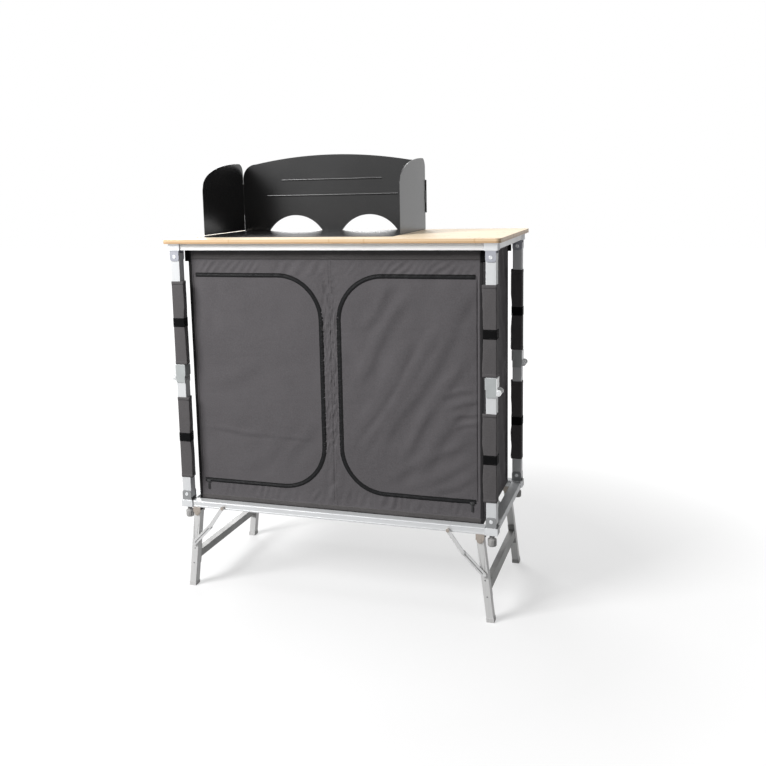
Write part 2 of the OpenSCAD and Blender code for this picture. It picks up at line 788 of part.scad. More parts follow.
// back of the windscreen with its ribs and its halves of the wing hinges
module windscreen_back() color("dimgray") translate([screen_x, 0, sheet_z]) {
    translate([0, screen_y, 0]) rotate([90, 0, 0]) linear_extrude(sheet_t) back_shape();
    for (k = [0, 1]) {
        l = k == 0 ? rib_top : rib_low;
        intersection() {
            translate([-l / 2, screen_y - sheet_t - rib_rise + rib_r, rib_z - k * rib_step])
                rotate([0, 90, 0]) cylinder(r = rib_r, h = l);
            translate([-l, screen_y - 20, 0]) cube([2 * l, 20 - sheet_t / 2, 2 * screen_h]);
        }
    }
    third = hinge_l / 3;
    for (s = [0, 1]) mirror([s, 0, 0]) {
        for (z = [hinge_z, hinge_z + 2 * third]) {
            difference() {
                union() {
                    translate([barrel_x, barrel_y, z]) cylinder(r = barrel_r, h = third);
                    translate([barrel_x - leaf_w, screen_y, z]) cube([leaf_w, leaf_t, third]);
                    translate([barrel_x - 0.6, screen_y, z])
                        cube([1.2, barrel_y - screen_y - barrel_r + 0.4, third]);
                }
                translate([barrel_x, barrel_y, z - 1]) cylinder(r = hinge_pin_r, h = third + 2);
            }
        }
        translate([barrel_x, barrel_y, hinge_z]) cylinder(r = hinge_pin_r, h = hinge_l);
    }
}

// side wing of the windscreen with its half of the hinge
module wing(sx) color("gray") translate([screen_x, 0, 0]) side(sx) {
    x = screen_half;
    y1 = screen_y - sheet_t - 0.6;
    z0 = sheet_z + wing_gap;
    third = hinge_l / 3;
    rise = wing_h - wing_front;
    translate([x, 0, z0]) rotate([90, 0, 90]) linear_extrude(sheet_t) union() {
        translate([y1 - wing_d, 0]) square([wing_d, wing_front]);
        translate([y1 - wing_r, 0]) square([wing_r, wing_h - wing_r]);
        translate([y1 - wing_r, wing_h - wing_r]) circle(r = wing_r, $fn = 60);
        polygon([[y1 - wing_r, 0], for (i = [0:24])
            [y1 - wing_r - (wing_d - wing_r) * sin(i * 3.75),
             wing_front + rise * pow(cos(i * 3.75), 0.8)]]);
    }
    difference() {
        union() {
            translate([barrel_x, barrel_y, sheet_z + hinge_z + third + 0.3])
                cylinder(r = barrel_r, h = third - 0.6);
            translate([x + sheet_t, barrel_y - leaf_w, sheet_z + hinge_z + third + 0.3])
                cube([leaf_t, leaf_w, third - 0.6]);
        }
        translate([barrel_x, barrel_y, sheet_z]) cylinder(r = hinge_pin_r + pin_gap, h = wing_h);
    }
}

bottom_long_rails();
bottom_side_rails();
lower_corner_brackets();
levelling_knobs();
leg_brackets();
base_board();
lower_post(-1, 1);  // front_left_lower_post
hinge_cap(-1, 1);  // front_left_hinge_cap
lower_sleeve(-1, 1);  // front_left_lower_sleeve
upper_post(-1, 1);  // front_left_upper_post
mid_collar(-1, 1);  // front_left_mid_collar
upper_sleeve(-1, 1);  // front_left_upper_sleeve
lower_post(1, 1);  // front_right_lower_post
hinge_cap(1, 1);  // front_right_hinge_cap
lower_sleeve(1, 1);  // front_right_lower_sleeve
upper_post(1, 1);  // front_right_upper_post
mid_collar(1, 1);  // front_right_mid_collar
upper_sleeve(1, 1);  // front_right_upper_sleeve
lower_post(-1, -1);  // back_left_lower_post
hinge_cap(-1, -1);  // back_left_hinge_cap
lower_sleeve(-1, -1);  // back_left_lower_sleeve
upper_post(-1, -1);  // back_left_upper_post
mid_collar(-1, -1);  // back_left_mid_collar
upper_sleeve(-1, -1);  // back_left_upper_sleeve
lower_post(1, -1);  // back_right_lower_post
hinge_cap(1, -1);  // back_right_hinge_cap
lower_sleeve(1, -1);  // back_right_lower_sleeve
upper_post(1, -1);  // back_right_upper_post
mid_collar(1, -1);  // back_right_mid_collar
upper_sleeve(1, -1);  // back_right_upper_sleeve
top_long_rails();
top_side_rails();
top_corner_brackets();
worktop();
corner_tabs();
leg(-1, 1);  // left_front_leg
leg(-1, -1);  // left_back_leg
crossbar(-1);  // left_crossbar
leg_fittings(-1);  // left_leg_fittings
leg(1, 1);  // right_front_leg
leg(1, -1);  // right_back_leg
crossbar(1);  // right_crossbar
leg_fittings(1);  // right_leg_fittings
strut_rail_bars(-1);  // left_strut_rail_bars
strut_leg_bars(-1);  // left_strut_leg_bars
strut_rail_bars(1);  // right_strut_rail_bars
strut_leg_bars(1);  // right_strut_leg_bars
cupboard_front();
cupboard_back();
cupboard_sides();
door(-1);  // left_door
door(1);  // right_door
zip_tapes();
zip_slider(-1);  // left_zip_slider
zip_slider(1);  // right_zip_slider
shelf();
windscreen_tray();
windscreen_back();
wing(-1);  // windscreen_left_wing
wing(1);  // windscreen_right_wing
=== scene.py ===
"""Dresses the folding camp kitchen cupboard: metal, bamboo, cloth, zips and windscreen.

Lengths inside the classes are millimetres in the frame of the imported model: Z up, the
front towards -Y, the origin on the floor under the middle of the cupboard.
"""

import logging
import math
from collections.abc import Sequence
from dataclasses import dataclass, field
from enum import Enum
from typing import Any

import bmesh
import bpy
import numpy as np
from mathutils import Matrix, Vector


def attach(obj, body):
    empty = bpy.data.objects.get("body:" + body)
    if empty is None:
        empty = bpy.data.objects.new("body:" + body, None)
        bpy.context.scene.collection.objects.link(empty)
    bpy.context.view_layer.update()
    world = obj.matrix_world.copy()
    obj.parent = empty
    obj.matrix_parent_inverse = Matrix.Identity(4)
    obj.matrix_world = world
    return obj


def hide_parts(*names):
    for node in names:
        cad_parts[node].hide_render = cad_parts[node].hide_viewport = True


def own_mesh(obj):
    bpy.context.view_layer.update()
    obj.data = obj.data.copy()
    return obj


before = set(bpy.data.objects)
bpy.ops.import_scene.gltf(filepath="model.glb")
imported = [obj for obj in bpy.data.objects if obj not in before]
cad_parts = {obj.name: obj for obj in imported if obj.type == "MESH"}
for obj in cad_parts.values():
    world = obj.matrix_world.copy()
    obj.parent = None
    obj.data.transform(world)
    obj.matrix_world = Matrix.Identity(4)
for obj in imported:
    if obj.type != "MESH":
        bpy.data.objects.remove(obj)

MM = 0.001
LOG = logging.getLogger("cupboard")
Array = np.ndarray
Point = tuple[float, float, float]
Socket = bpy.types.NodeSocket
Material = bpy.types.Material
Piece = bpy.types.Object


class Side(Enum):
    """Left or right side of the object, with its sign along X."""

    LEFT = ("left", -1)
    RIGHT = ("right", 1)

    @property
    def word(self) -> str:
        """Name of the side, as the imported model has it."""
        return self.value[0]

    @property
    def sign(self) -> int:
        """Sign of the side along X."""
        return self.value[1]


class Corner(Enum):
    """One of the four posts, with its signs along X and Y."""

    FRONT_LEFT = ("front_left", -1, -1)
    FRONT_RIGHT = ("front_right", 1, -1)
    BACK_LEFT = ("back_left", -1, 1)
    BACK_RIGHT = ("back_right", 1, 1)

    @property
    def word(self) -> str:
        """Name of the corner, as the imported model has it."""
        return self.value[0]


class Half(Enum):
    """Lower or upper half of a folding post."""

    LOWER = "lower"
    UPPER = "upper"


def soft_step(value: Array | float, low: float, high: float) -> Array:
    """Smooth rise from 0 at low to 1 at high.

    Args:
        value: Where the rise is read.
        low: Value at which it starts.
        high: Value at which it ends.

    Returns:
        The share between 0 and 1.
    """
    share = np.clip((np.asarray(value, float) - low) / (high - low), 0.0, 1.0)
    return share * share * (3.0 - 2.0 * share)


def ripple(u: Array, v: Array, pitch: float, seed: int, waves: int = 9) -> Array:
    """Uneven smooth field over a cloth, about -1 to 1.

    Args:
        u: First coordinate on the cloth in millimetres.
        v: Second coordinate on the cloth in millimetres.
        pitch: Usual distance between two rises.
        seed: Number that fixes the pattern.
        waves: How many waves are added up.

    Returns:
        The height of the field at each point.
    """
    dice = np.random.default_rng(seed)
    total = np.zeros(np.broadcast(u, v).shape)
    for _ in range(waves):
        turn, phase = dice.uniform(0.0, 2.0 * math.pi, 2)
        length = pitch * dice.uniform(0.7, 1.6)
        along = u * math.cos(turn) + v * math.sin(turn)
        total = total + np.sin(along * 2.0 * math.pi / length + phase)
    return total / math.sqrt(waves)


def spaced(low: float, high: float, step: float) -> Array:
    """Even values from low to high, at most step apart."""
    return np.linspace(low, high, max(2, int(math.ceil((high - low) / step)) + 1))


@dataclass
class MeshDraft:
    """Points and faces of one piece, gathered in millimetres."""

    points: list[Array] = field(default_factory=list)
    faces: list[tuple[int, ...]] = field(default_factory=list)
    count: int = 0

    def add(self, points: Array, faces: Sequence[tuple[int, ...]]) -> None:
        """Adds a patch of its own.

        Args:
            points: Rows of X, Y and Z.
            faces: Corner numbers, counted within the patch.
        """
        self.points.append(np.asarray(points, float).reshape(-1, 3))
        self.faces.extend(tuple(self.count + i for i in face) for face in faces)
        self.count += len(self.points[-1])

    def grid(self, rows: Array, ring: bool = False, flip: bool = False, skip: Array | None = None) -> None:
        """Adds a net of four-sided faces.

        Args:
            rows: Points as rows by columns by 3.
            ring: Whether the last column joins the first.
            flip: Whether the faces look the other way.
            skip: True for each cell that is left open, rows by columns.
        """
        high, wide = rows.shape[:2]
        faces = []
        for i in range(high - 1):
            for j in range(wide if ring else wide - 1):
                if skip is not None and skip[i, j]:
                    continue
                k = (j + 1) % wide
                face = (i * wide + j, i * wide + k, (i + 1) * wide + k, (i + 1) * wide + j)
                faces.append(face[::-1] if flip else face)
        self.add(rows, faces)

    def block(self, centre: Sequence[float], size: Sequence[float], ease: float = 0.3) -> None:
        """Adds a small block whose front is smaller than its back.

        Args:
            centre: Middle of the block.
            size: Its extent along X, Y and Z.
            ease: Share by which the face towards -Y is smaller.
        """
        x, y, z = (s / 2.0 for s in size)
        e = 1.0 - ease
        shape = [(-x, y, -z), (x, y, -z), (x, y, z), (-x, y, z),
                 (-x * e, -y, -z * e), (x * e, -y, -z * e), (x * e, -y, z * e), (-x * e, -y, z * e)]
        faces = [(0, 3, 2, 1), (4, 5, 6, 7), (0, 1, 5, 4), (1, 2, 6, 5), (2, 3, 7, 6), (3, 0, 4, 7)]
        self.add(np.array(shape) + np.asarray(centre, float), faces)

    def piece(self, name: str, material: Material, body: str, slot: str, thick: float = 0.0,
              smooth: bool = True, even: bool = False) -> Piece:
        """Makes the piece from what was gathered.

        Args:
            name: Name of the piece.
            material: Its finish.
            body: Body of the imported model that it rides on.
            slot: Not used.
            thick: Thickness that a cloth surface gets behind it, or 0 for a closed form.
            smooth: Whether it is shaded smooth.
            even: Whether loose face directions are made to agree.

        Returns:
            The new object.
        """
        mesh = bpy.data.meshes.new(name)
        mesh.from_pydata((np.concatenate(self.points) * MM).tolist(), [], self.faces)
        net = bmesh.new()
        net.from_mesh(mesh)
        bmesh.ops.remove_doubles(net, verts=net.verts, dist=1e-6)
        if even:
            bmesh.ops.recalc_face_normals(net, faces=net.faces)
        loose = [v for v in net.verts if not v.link_faces]
        bmesh.ops.delete(net, geom=loose, context="VERTS")
        net.to_mesh(mesh)
        net.free()
        mesh.polygons.foreach_set("use_smooth", [smooth] * len(mesh.polygons))
        mesh.materials.append(material)
        made = bpy.data.objects.new(name, mesh)
        bpy.context.scene.collection.objects.link(made)
        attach(made, body)
        if thick:
            thicken(made, thick)
        return made


def thicken(piece: Piece, thickness: float, inwards: bool = True) -> None:
    """Gives a cloth surface its thickness.

    Args:
        piece: The cloth.
        thickness: Thickness in millimetres.
        inwards: Whether it grows behind the surface.
    """
    shell = piece.modifiers.new("thickness", "SOLIDIFY")
    shell.thickness = thickness * MM
    shell.offset = -1.0 if inwards else 1.0


def fold_away(piece: Piece) -> None:
    """Gives a wall of the cupboard a mesh of its own."""
    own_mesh(piece)


# Finishes


class Desk:
    """Node tree of one material, with short calls that add and join nodes."""

    def __init__(self, name: str) -> None:
        """Starts a material with a plain shader and the object's own coordinates.

        Args:
            name: Name of the material.
        """
        self.material = bpy.data.materials.new(name)
        self.material.use_nodes = True
        self.tree = self.material.node_tree
        self.shader = self.tree.nodes["Principled BSDF"]
        self.place = self.add("ShaderNodeTexCoord").outputs["Object"]
        split = self.add("ShaderNodeSeparateXYZ", {"Vector": self.place})
        self.x, self.y, self.z = (split.outputs[i] for i in range(3))

    def add(self, kind: str, inputs: dict[Any, Any] | None = None, **settings: Any) -> bpy.types.Node:
        """Adds a node.

        Args:
            kind: Type of the node.
            inputs: Value or joined socket for each input, by name or number.
            **settings: Properties of the node.

        Returns:
            The node.
        """
        node = self.tree.nodes.new(kind)
        for key, value in settings.items():
            setattr(node, key, value)
        for key, value in (inputs or {}).items():
            if isinstance(value, Socket):
                self.tree.links.new(value, node.inputs[key])
            else:
                node.inputs[key].default_value = value
        return node

    def sum(self, operation: str, *values: Any) -> Socket:
        """One arithmetic step on numbers or sockets."""
        return self.add("ShaderNodeMath", dict(enumerate(values)), operation=operation).outputs[0]

    def stretch(self, scale: Point) -> Socket:
        """Object coordinates, scaled along each axis."""
        return self.add("ShaderNodeMapping", {"Vector": self.place, "Scale": scale}).outputs[0]

    def grain(self, scale: Point, detail: float = 3.0, rough: float = 0.55) -> Socket:
        """Noise over the object, at that many rises a metre along each axis."""
        return self.add("ShaderNodeTexNoise", {"Vector": self.stretch(scale), "Scale": 1.0,
                                               "Detail": detail, "Roughness": rough}).outputs["Fac"]

    def waves(self, coordinate: Socket, pitch: float) -> Socket:
        """Sine wave along a coordinate, with its pitch in metres."""
        return self.sum("SINE", self.sum("MULTIPLY", coordinate, 2.0 * math.pi / pitch))

    def between(self, value: Socket, low: float, high: float, to_low: float = 0.0,
                to_high: float = 1.0) -> Socket:
        """Maps a value from one range to another and holds it there.

        Args:
            value: The value.
            low: Start of its range.
            high: End of its range.
            to_low: Result at the start.
            to_high: Result at the end.

        Returns:
            The mapped value.
        """
        return self.add("ShaderNodeMapRange", {0: value, 1: low, 2: high, 3: to_low, 4: to_high}).outputs[0]

    def blend(self, share: Any, first: Any, second: Any) -> Socket:
        """Mixes two colours."""
        return self.add("ShaderNodeMix", {0: share, 6: first, 7: second}, data_type="RGBA").outputs[2]

    def steps(self, value: Socket, *stops: tuple[float, Sequence[float]]) -> Socket:
        """Colour by value.

        Args:
            value: The value.
            *stops: Places from 0 to 1, each with its colour.

        Returns:
            The colour.
        """
        node = self.add("ShaderNodeValToRGB", {"Fac": value})
        band = node.color_ramp.elements
        while len(band) < len(stops):
            band.new(0.5)
        for element, (place, colour) in zip(band, stops):
            element.position = place
            element.color = colour
        return node.outputs["Color"]

    def relief(self, height: Socket, strength: float, depth: float) -> None:
        """Bump of the surface, with its depth in metres."""
        bump = self.add("ShaderNodeBump", {"Strength": strength, "Distance": depth, "Height": height})
        self.tree.links.new(bump.outputs["Normal"], self.shader.inputs["Normal"])

    def surface(self, **sockets: Any) -> Material:
        """Sets or joins inputs of the shader.

        Args:
            **sockets: Value or socket for each input, by its name with _ for spaces.

        Returns:
            The finished material.
        """
        for key, value in sockets.items():
            socket = self.shader.inputs[key.replace("_", " ")]
            if isinstance(value, Socket):
                self.tree.links.new(value, socket)
            else:
                socket.default_value = value
        return self.material


def shade(colour: Sequence[float], factor: float) -> tuple[float, float, float, float]:
    """A colour made lighter or darker, with full opacity."""
    return (*(min(1.0, c * factor) for c in colour[:3]), 1.0)


@dataclass(frozen=True)
class SatinMetal:
    """Anodised aluminium with fine lines along its length."""

    name: str
    colour: Point = (0.83, 0.84, 0.85)
    roughness: float = 0.42
    lines: Point = (900.0, 900.0, 6.0)

    def build(self) -> Material:
        """Makes the material.

        Returns:
            The material.
        """
        desk = Desk(self.name)
        streak = desk.grain(self.lines, 4.0)
        cloud = desk.grain((14.0, 14.0, 9.0), 4.0)
        tone = desk.blend(desk.between(streak, 0.3, 0.7), shade(self.colour, 0.93), shade(self.colour, 1.04))
        tone = desk.blend(desk.between(cloud, 0.45, 0.75, 0.0, 0.35), tone, shade(self.colour, 0.86))
        rough = desk.between(cloud, 0.3, 0.7, self.roughness - 0.05, self.roughness + 0.09)
        desk.relief(streak, 0.12, 0.0002)
        return desk.surface(Base_Color=tone, Roughness=rough, Metallic=0.25)


@dataclass(frozen=True)
class CastPaint:
    """Cast bracket in satin paint, with bright screws outside the posts' faces."""

    name: str
    colour: Point
    post_y: float = 0.216
    screw_from: float = 0.01668
    ear_from: float = 1.0
    metal: float = 0.25
    screw_colour: Point = (0.62, 0.63, 0.64)
    ear_colour: Point = (0.74, 0.75, 0.75)

    def build(self) -> Material:
        """Makes the material.

        Returns:
            The material.
        """
        desk = Desk(self.name)
        mottle = desk.grain((60.0, 60.0, 60.0), 4.0)
        pores = desk.grain((1500.0, 1500.0, 1500.0), 2.0)
        off = desk.sum("ABSOLUTE", desk.sum("SUBTRACT", desk.sum("ABSOLUTE", desk.y), self.post_y))
        screw = desk.sum("GREATER_THAN", off, self.screw_from)
        ear = desk.sum("GREATER_THAN", desk.sum("ABSOLUTE", desk.x), self.ear_from)
        tone = desk.blend(mottle, shade(self.colour, 0.9), shade(self.colour, 1.07))
        tone = desk.blend(ear, tone, shade(self.ear_colour, 1.0))
        tone = desk.blend(screw, tone, shade(self.screw_colour, 1.0))
        metal = desk.between(screw, 0.0, 1.0, self.metal, 0.95)
        desk.relief(pores, 0.1, 0.0001)
        rough = desk.between(mottle, 0.3, 0.7, 0.36, 0.46)
        return desk.surface(Base_Color=tone, Roughness=rough, Metallic=metal)


@dataclass(frozen=True)
class LegEnds:
    """Silver foot caps, bright rivets and dark top plugs, told apart by their height."""

    name: str
    cap_top: float = 0.03
    plug_from: float = 0.2
    cap_colour: Point = (0.62, 0.615, 0.61)
    scuff_colour: Point = (0.52, 0.515, 0.51)
    rivet_colour: Point = (0.62, 0.63, 0.63)
    plug_colour: Point = (0.012, 0.012, 0.013)
    rubbed_colour: Point = (0.035, 0.035, 0.036)

    def build(self) -> Material:
        """Makes the material.

        Returns:
            The material.
        """
        desk = Desk(self.name)
        scuff = desk.grain((300.0, 300.0, 120.0), 4.0)
        cap = desk.blend(desk.between(scuff, 0.45, 0.7), shade(self.cap_colour, 1.0),
                         shade(self.scuff_colour, 1.0))
        plug = desk.sum("GREATER_THAN", desk.z, self.plug_from)
        rivet = desk.sum("GREATER_THAN", desk.z, self.cap_top)
        tone = desk.blend(rivet, cap, shade(self.rivet_colour, 1.0))
        dark = desk.blend(scuff, shade(self.plug_colour, 1.0), shade(self.rubbed_colour, 1.0))
        tone = desk.blend(plug, tone, dark)
        metal = desk.sum("MULTIPLY", desk.sum("SUBTRACT", rivet, plug), 0.9)
        desk.relief(scuff, 0.15, 0.0002)
        rough = desk.between(scuff, 0.3, 0.7, 0.4, 0.6)
        return desk.surface(Base_Color=tone, Roughness=rough, Metallic=metal)


@dataclass(frozen=True)
class BambooStrips:
    """Glued bamboo strips along X, with knuckles and fine fibres; the edges are darker, partly for their
    grain and partly as painted shade, their lower half most.
    """

    name: str
    strip: float = 0.0195
    length: float = 0.62
    edge_z: float = 1.0588
    strips: tuple[tuple[float, Point], ...] = (
        (0.0, (0.80, 0.62, 0.41)), (0.45, (0.87, 0.71, 0.50)), (1.0, (0.91, 0.77, 0.58)))
    fibre_colour: Point = (0.62, 0.40, 0.20)
    pale_colour: Point = (0.93, 0.80, 0.62)
    knot_colour: Point = (0.42, 0.22, 0.08)
    joint_colour: Point = (0.40, 0.22, 0.09)
    side_colour: Point = (0.60, 0.36, 0.16)
    rim_colour: Point = (0.36, 0.19, 0.075)

    def build(self) -> Material:
        """Makes the material.

        Returns:
            The material.
        """
        desk = Desk(self.name)
        strip = desk.sum("FLOOR", desk.sum("DIVIDE", desk.y, self.strip))
        shift = desk.add("ShaderNodeTexWhiteNoise", {"W": strip}, noise_dimensions="1D").outputs["Value"]
        part = desk.sum("FLOOR", desk.sum("ADD", desk.sum("DIVIDE", desk.x, self.length), shift))
        seat = desk.add("ShaderNodeCombineXYZ", {"X": strip, "Y": part}).outputs[0]
        chance = desk.add("ShaderNodeTexWhiteNoise", {"Vector": seat}, noise_dimensions="2D").outputs["Value"]
        fibre = desk.grain((9.0, 1100.0, 1100.0), 4.0, 0.6)
        cloud = desk.grain((5.0, 60.0, 60.0), 3.0)
        tone = desk.steps(chance, *((place, shade(colour, 1.0)) for place, colour in self.strips))
        tone = desk.blend(desk.between(fibre, 0.35, 0.75, 0.0, 0.32), tone, shade(self.fibre_colour, 1.0))
        tone = desk.blend(desk.between(cloud, 0.4, 0.8, 0.0, 0.35), tone, shade(self.pale_colour, 1.0))
        knot_at = desk.sum("FRACT", desk.sum("ADD", desk.sum("MULTIPLY", desk.x, 3.3),
                                             desk.sum("MULTIPLY", chance, 7.0)))
        knot = desk.between(desk.sum("ABSOLUTE", desk.sum("SUBTRACT", knot_at, 0.5)), 0.0, 0.012, 0.5, 0.0)
        tone = desk.blend(knot, tone, shade(self.knot_colour, 1.0))
        within = desk.sum("FRACT", desk.sum("DIVIDE", desk.y, self.strip))
        line = desk.sum("ABSOLUTE", desk.sum("SUBTRACT", within, 0.5))
        tone = desk.blend(desk.between(line, 0.485, 0.5, 0.0, 0.45), tone, shade(self.joint_colour, 1.0))
        normal = desk.add("ShaderNodeTexCoord").outputs["Normal"]
        up = desk.sum("ABSOLUTE", desk.add("ShaderNodeSeparateXYZ", {"Vector": normal}).outputs[2])
        low = desk.sum("LESS_THAN", desk.z, self.edge_z)
        side = desk.sum("LESS_THAN", up, 0.6)
        shaded_rim = desk.sum("MULTIPLY", low, side)
        # Side faces darker: partly their edge grain, partly painted shade; their lower half darker still, as
        # painted shade.
        tone = desk.blend(desk.sum("MULTIPLY", side, 0.55), tone, shade(self.side_colour, 1.0))
        tone = desk.blend(desk.sum("MULTIPLY", shaded_rim, 0.6), tone, shade(self.rim_colour, 1.0))
        desk.relief(fibre, 0.12, 0.0003)
        rough = desk.between(fibre, 0.3, 0.7, 0.36, 0.52)
        return desk.surface(Base_Color=tone, Roughness=rough, Coat_Weight=0.15, Coat_Roughness=0.3)


@dataclass(frozen=True)
class WovenCloth:
    """Plain-woven polyester, slightly mottled, with its threads as relief."""

    name: str
    colour: Point
    pitch: float = 0.0011
    sheen: float = 0.04
    relief: float = 0.35
    fleck: float = 0.16

    def build(self) -> Material:
        """Makes the material.

        Returns:
            The material.
        """
        desk = Desk(self.name)
        across = desk.waves(desk.sum("ADD", desk.x, desk.y), self.pitch)
        upright = desk.waves(desk.z, self.pitch)
        thread = desk.sum("MULTIPLY", across, upright)
        mottle = desk.grain((260.0, 260.0, 260.0), 4.0, 0.65)
        cloud = desk.grain((9.0, 9.0, 9.0), 3.0)
        tone = desk.blend(desk.between(mottle, 0.3, 0.7), shade(self.colour, 1.0 - self.fleck),
                          shade(self.colour, 1.0 + self.fleck))
        tone = desk.blend(desk.between(thread, -1.0, 1.0, 0.0, 0.16), tone, shade(self.colour, 0.45))
        tone = desk.blend(desk.between(cloud, 0.35, 0.7, 0.0, 0.3), tone, shade(self.colour, 1.22))
        height = desk.sum("ADD", desk.sum("MULTIPLY", thread, 0.5), desk.sum("MULTIPLY", mottle, 1.2))
        desk.relief(height, self.relief, 0.00025)
        rough = desk.between(mottle, 0.3, 0.7, 0.72, 0.88)
        return desk.surface(Base_Color=tone, Roughness=rough, Specular_IOR_Level=0.18,
                            Sheen_Weight=self.sheen, Sheen_Roughness=0.45)


@dataclass(frozen=True)
class RibbedBand:
    """Narrow woven band with ribs across it."""

    name: str
    colour: Point = (0.0045, 0.0045, 0.0048)
    pitch: float = 0.0017

    def build(self) -> Material:
        """Makes the material.

        Returns:
            The material.
        """
        desk = Desk(self.name)
        rib = desk.waves(desk.z, self.pitch)
        cross = desk.waves(desk.sum("ADD", desk.x, desk.y), self.pitch * 0.7)
        fuzz = desk.grain((900.0, 900.0, 900.0), 3.0)
        tone = desk.blend(desk.between(fuzz, 0.35, 0.75), shade(self.colour, 0.8), shade(self.colour, 1.7))
        height = desk.sum("ADD", desk.sum("MULTIPLY", rib, cross), fuzz)
        desk.relief(height, 0.4, 0.0003)
        return desk.surface(Base_Color=tone, Roughness=desk.between(fuzz, 0.3, 0.7, 0.7, 0.9),
                            Specular_IOR_Level=0.05)


@dataclass(frozen=True)
class Moulded:
    """Moulded plastic, rubber or coated board with a fine grain."""

    name: str
    colour: Point
    roughness: float = 0.5
    grain: float = 700.0
    depth: float = 0.0002
    gloss: float = 0.4

    def build(self) -> Material:
        """Makes the material.

        Returns:
            The material.
        """
        desk = Desk(self.name)
        fine = desk.grain((self.grain,) * 3, 3.0)
        wide = desk.grain((22.0, 22.0, 22.0), 4.0)
        tone = desk.blend(fine, shade(self.colour, 0.85), shade(self.colour, 1.15))
        tone = desk.blend(desk.between(wide, 0.5, 0.8, 0.0, 0.3), tone, shade(self.colour, 1.5))
        desk.relief(fine, 0.25, self.depth)
        rough = desk.between(wide, 0.3, 0.7, self.roughness - 0.06, self.roughness + 0.08)
        return desk.surface(Base_Color=tone, Roughness=rough, Specular_IOR_Level=self.gloss)


@dataclass(frozen=True)
class CoatedSheet:
    """Black powder-coated sheet metal with a fine orange-peel surface."""

    name: str
    colour: Point = (0.0045, 0.0045, 0.0048)
    roughness: float = 0.25

    def build(self) -> Material:
        """Makes the material.

        Returns:
            The material.
        """
        desk = Desk(self.name)
        peel = desk.grain((1100.0, 1100.0, 1100.0), 2.0)
        wide = desk.grain((7.0, 7.0, 7.0), 4.0)
        rub = desk.grain((45.0, 45.0, 300.0), 5.0, 0.7)
        tone = desk.blend(desk.between(wide, 0.35, 0.7), shade(self.colour, 0.85), shade(self.colour, 1.35))
        tone = desk.blend(desk.between(rub, 0.66, 0.82, 0.0, 0.25), tone, shade(self.colour, 2.2))
        desk.relief(peel, 0.12, 0.0001)
        rough = desk.between(wide, 0.3, 0.7, self.roughness - 0.01, self.roughness + 0.02)
        return desk.surface(Base_Color=tone, Roughness=rough)


@dataclass
class Finishes:
    """All finishes of the cupboard, made once."""

    made: dict[str, Material] = field(default_factory=dict)

    def __post_init__(self) -> None:
        """Makes each material."""
        for finish in (
            SatinMetal("aluminium_posts", (0.60, 0.61, 0.62), 0.55),
            # Much lighter copy of the frame aluminium for the top rails: painted light.
            SatinMetal("aluminium_top_rails_painted_light", (0.95, 0.95, 0.95), lines=(6.0, 900.0, 900.0)),
            SatinMetal("aluminium_top_sides", lines=(900.0, 6.0, 900.0)),
            SatinMetal("aluminium_long", (0.64, 0.65, 0.66), 0.36, (6.0, 900.0, 900.0)),
            SatinMetal("aluminium_deep", (0.50, 0.51, 0.52), 0.38, (900.0, 6.0, 900.0)),
            SatinMetal("aluminium_legs", (0.61, 0.61, 0.605), 0.38, (500.0, 500.0, 8.0)),
            SatinMetal("aluminium_bars", (0.60, 0.60, 0.60), 0.38, (500.0, 500.0, 40.0)),
            # Much darker copy of the frame aluminium for the crossbars: painted shade.
            SatinMetal("crossbar_metal_painted_shade", (0.25, 0.25, 0.245), 0.42, (500.0, 8.0, 500.0)),
            SatinMetal("hinge_metal", (0.48, 0.49, 0.49), 0.42, (300.0, 300.0, 60.0)),
            SatinMetal("rivet_metal", (0.30, 0.30, 0.30), 0.35, (300.0, 300.0, 300.0)),
            SatinMetal("tan_metal", (0.37, 0.325, 0.285), 0.42, (300.0, 300.0, 60.0)),
            CastPaint("top_bracket_paint", (0.39, 0.40, 0.445), metal=0.15),
            CastPaint("lower_bracket_metal", (0.26, 0.265, 0.27), metal=0.3),
            CastPaint("collar_metal", (0.39, 0.41, 0.41), ear_from=0.4806, metal=0.3),
            LegEnds("leg_ends"),
            BambooStrips("bamboo"),
            WovenCloth("wall_cloth", (0.097, 0.091, 0.096)),
            WovenCloth("hem_cloth", (0.082, 0.077, 0.077)),
            WovenCloth("sleeve_cloth", (0.092, 0.087, 0.089), pitch=0.0010),
            WovenCloth("binding_cloth", (0.020, 0.019, 0.020), pitch=0.0009),
            WovenCloth("thread", (0.045, 0.043, 0.045), pitch=0.0005),
            RibbedBand("webbing"),
            RibbedBand("zip_tape", (0.014, 0.014, 0.0145), 0.0009),
            Moulded("zip_coil", (0.010, 0.010, 0.011), 0.4, 1500.0, 0.0001, 0.15),
            Moulded("slider_metal", (0.018, 0.018, 0.019), 0.32, 900.0, 0.0001),
            Moulded("rubber", (0.34, 0.335, 0.33), 0.5, 420.0, 0.0004),
            Moulded("board", (0.10, 0.10, 0.10), 0.55, 260.0),
            CoatedSheet("black_coating"),
        ):
            self.made[finish.name] = finish.build()

    def __getitem__(self, name: str) -> Material:
        """The material of that name."""
        return self.made[name]


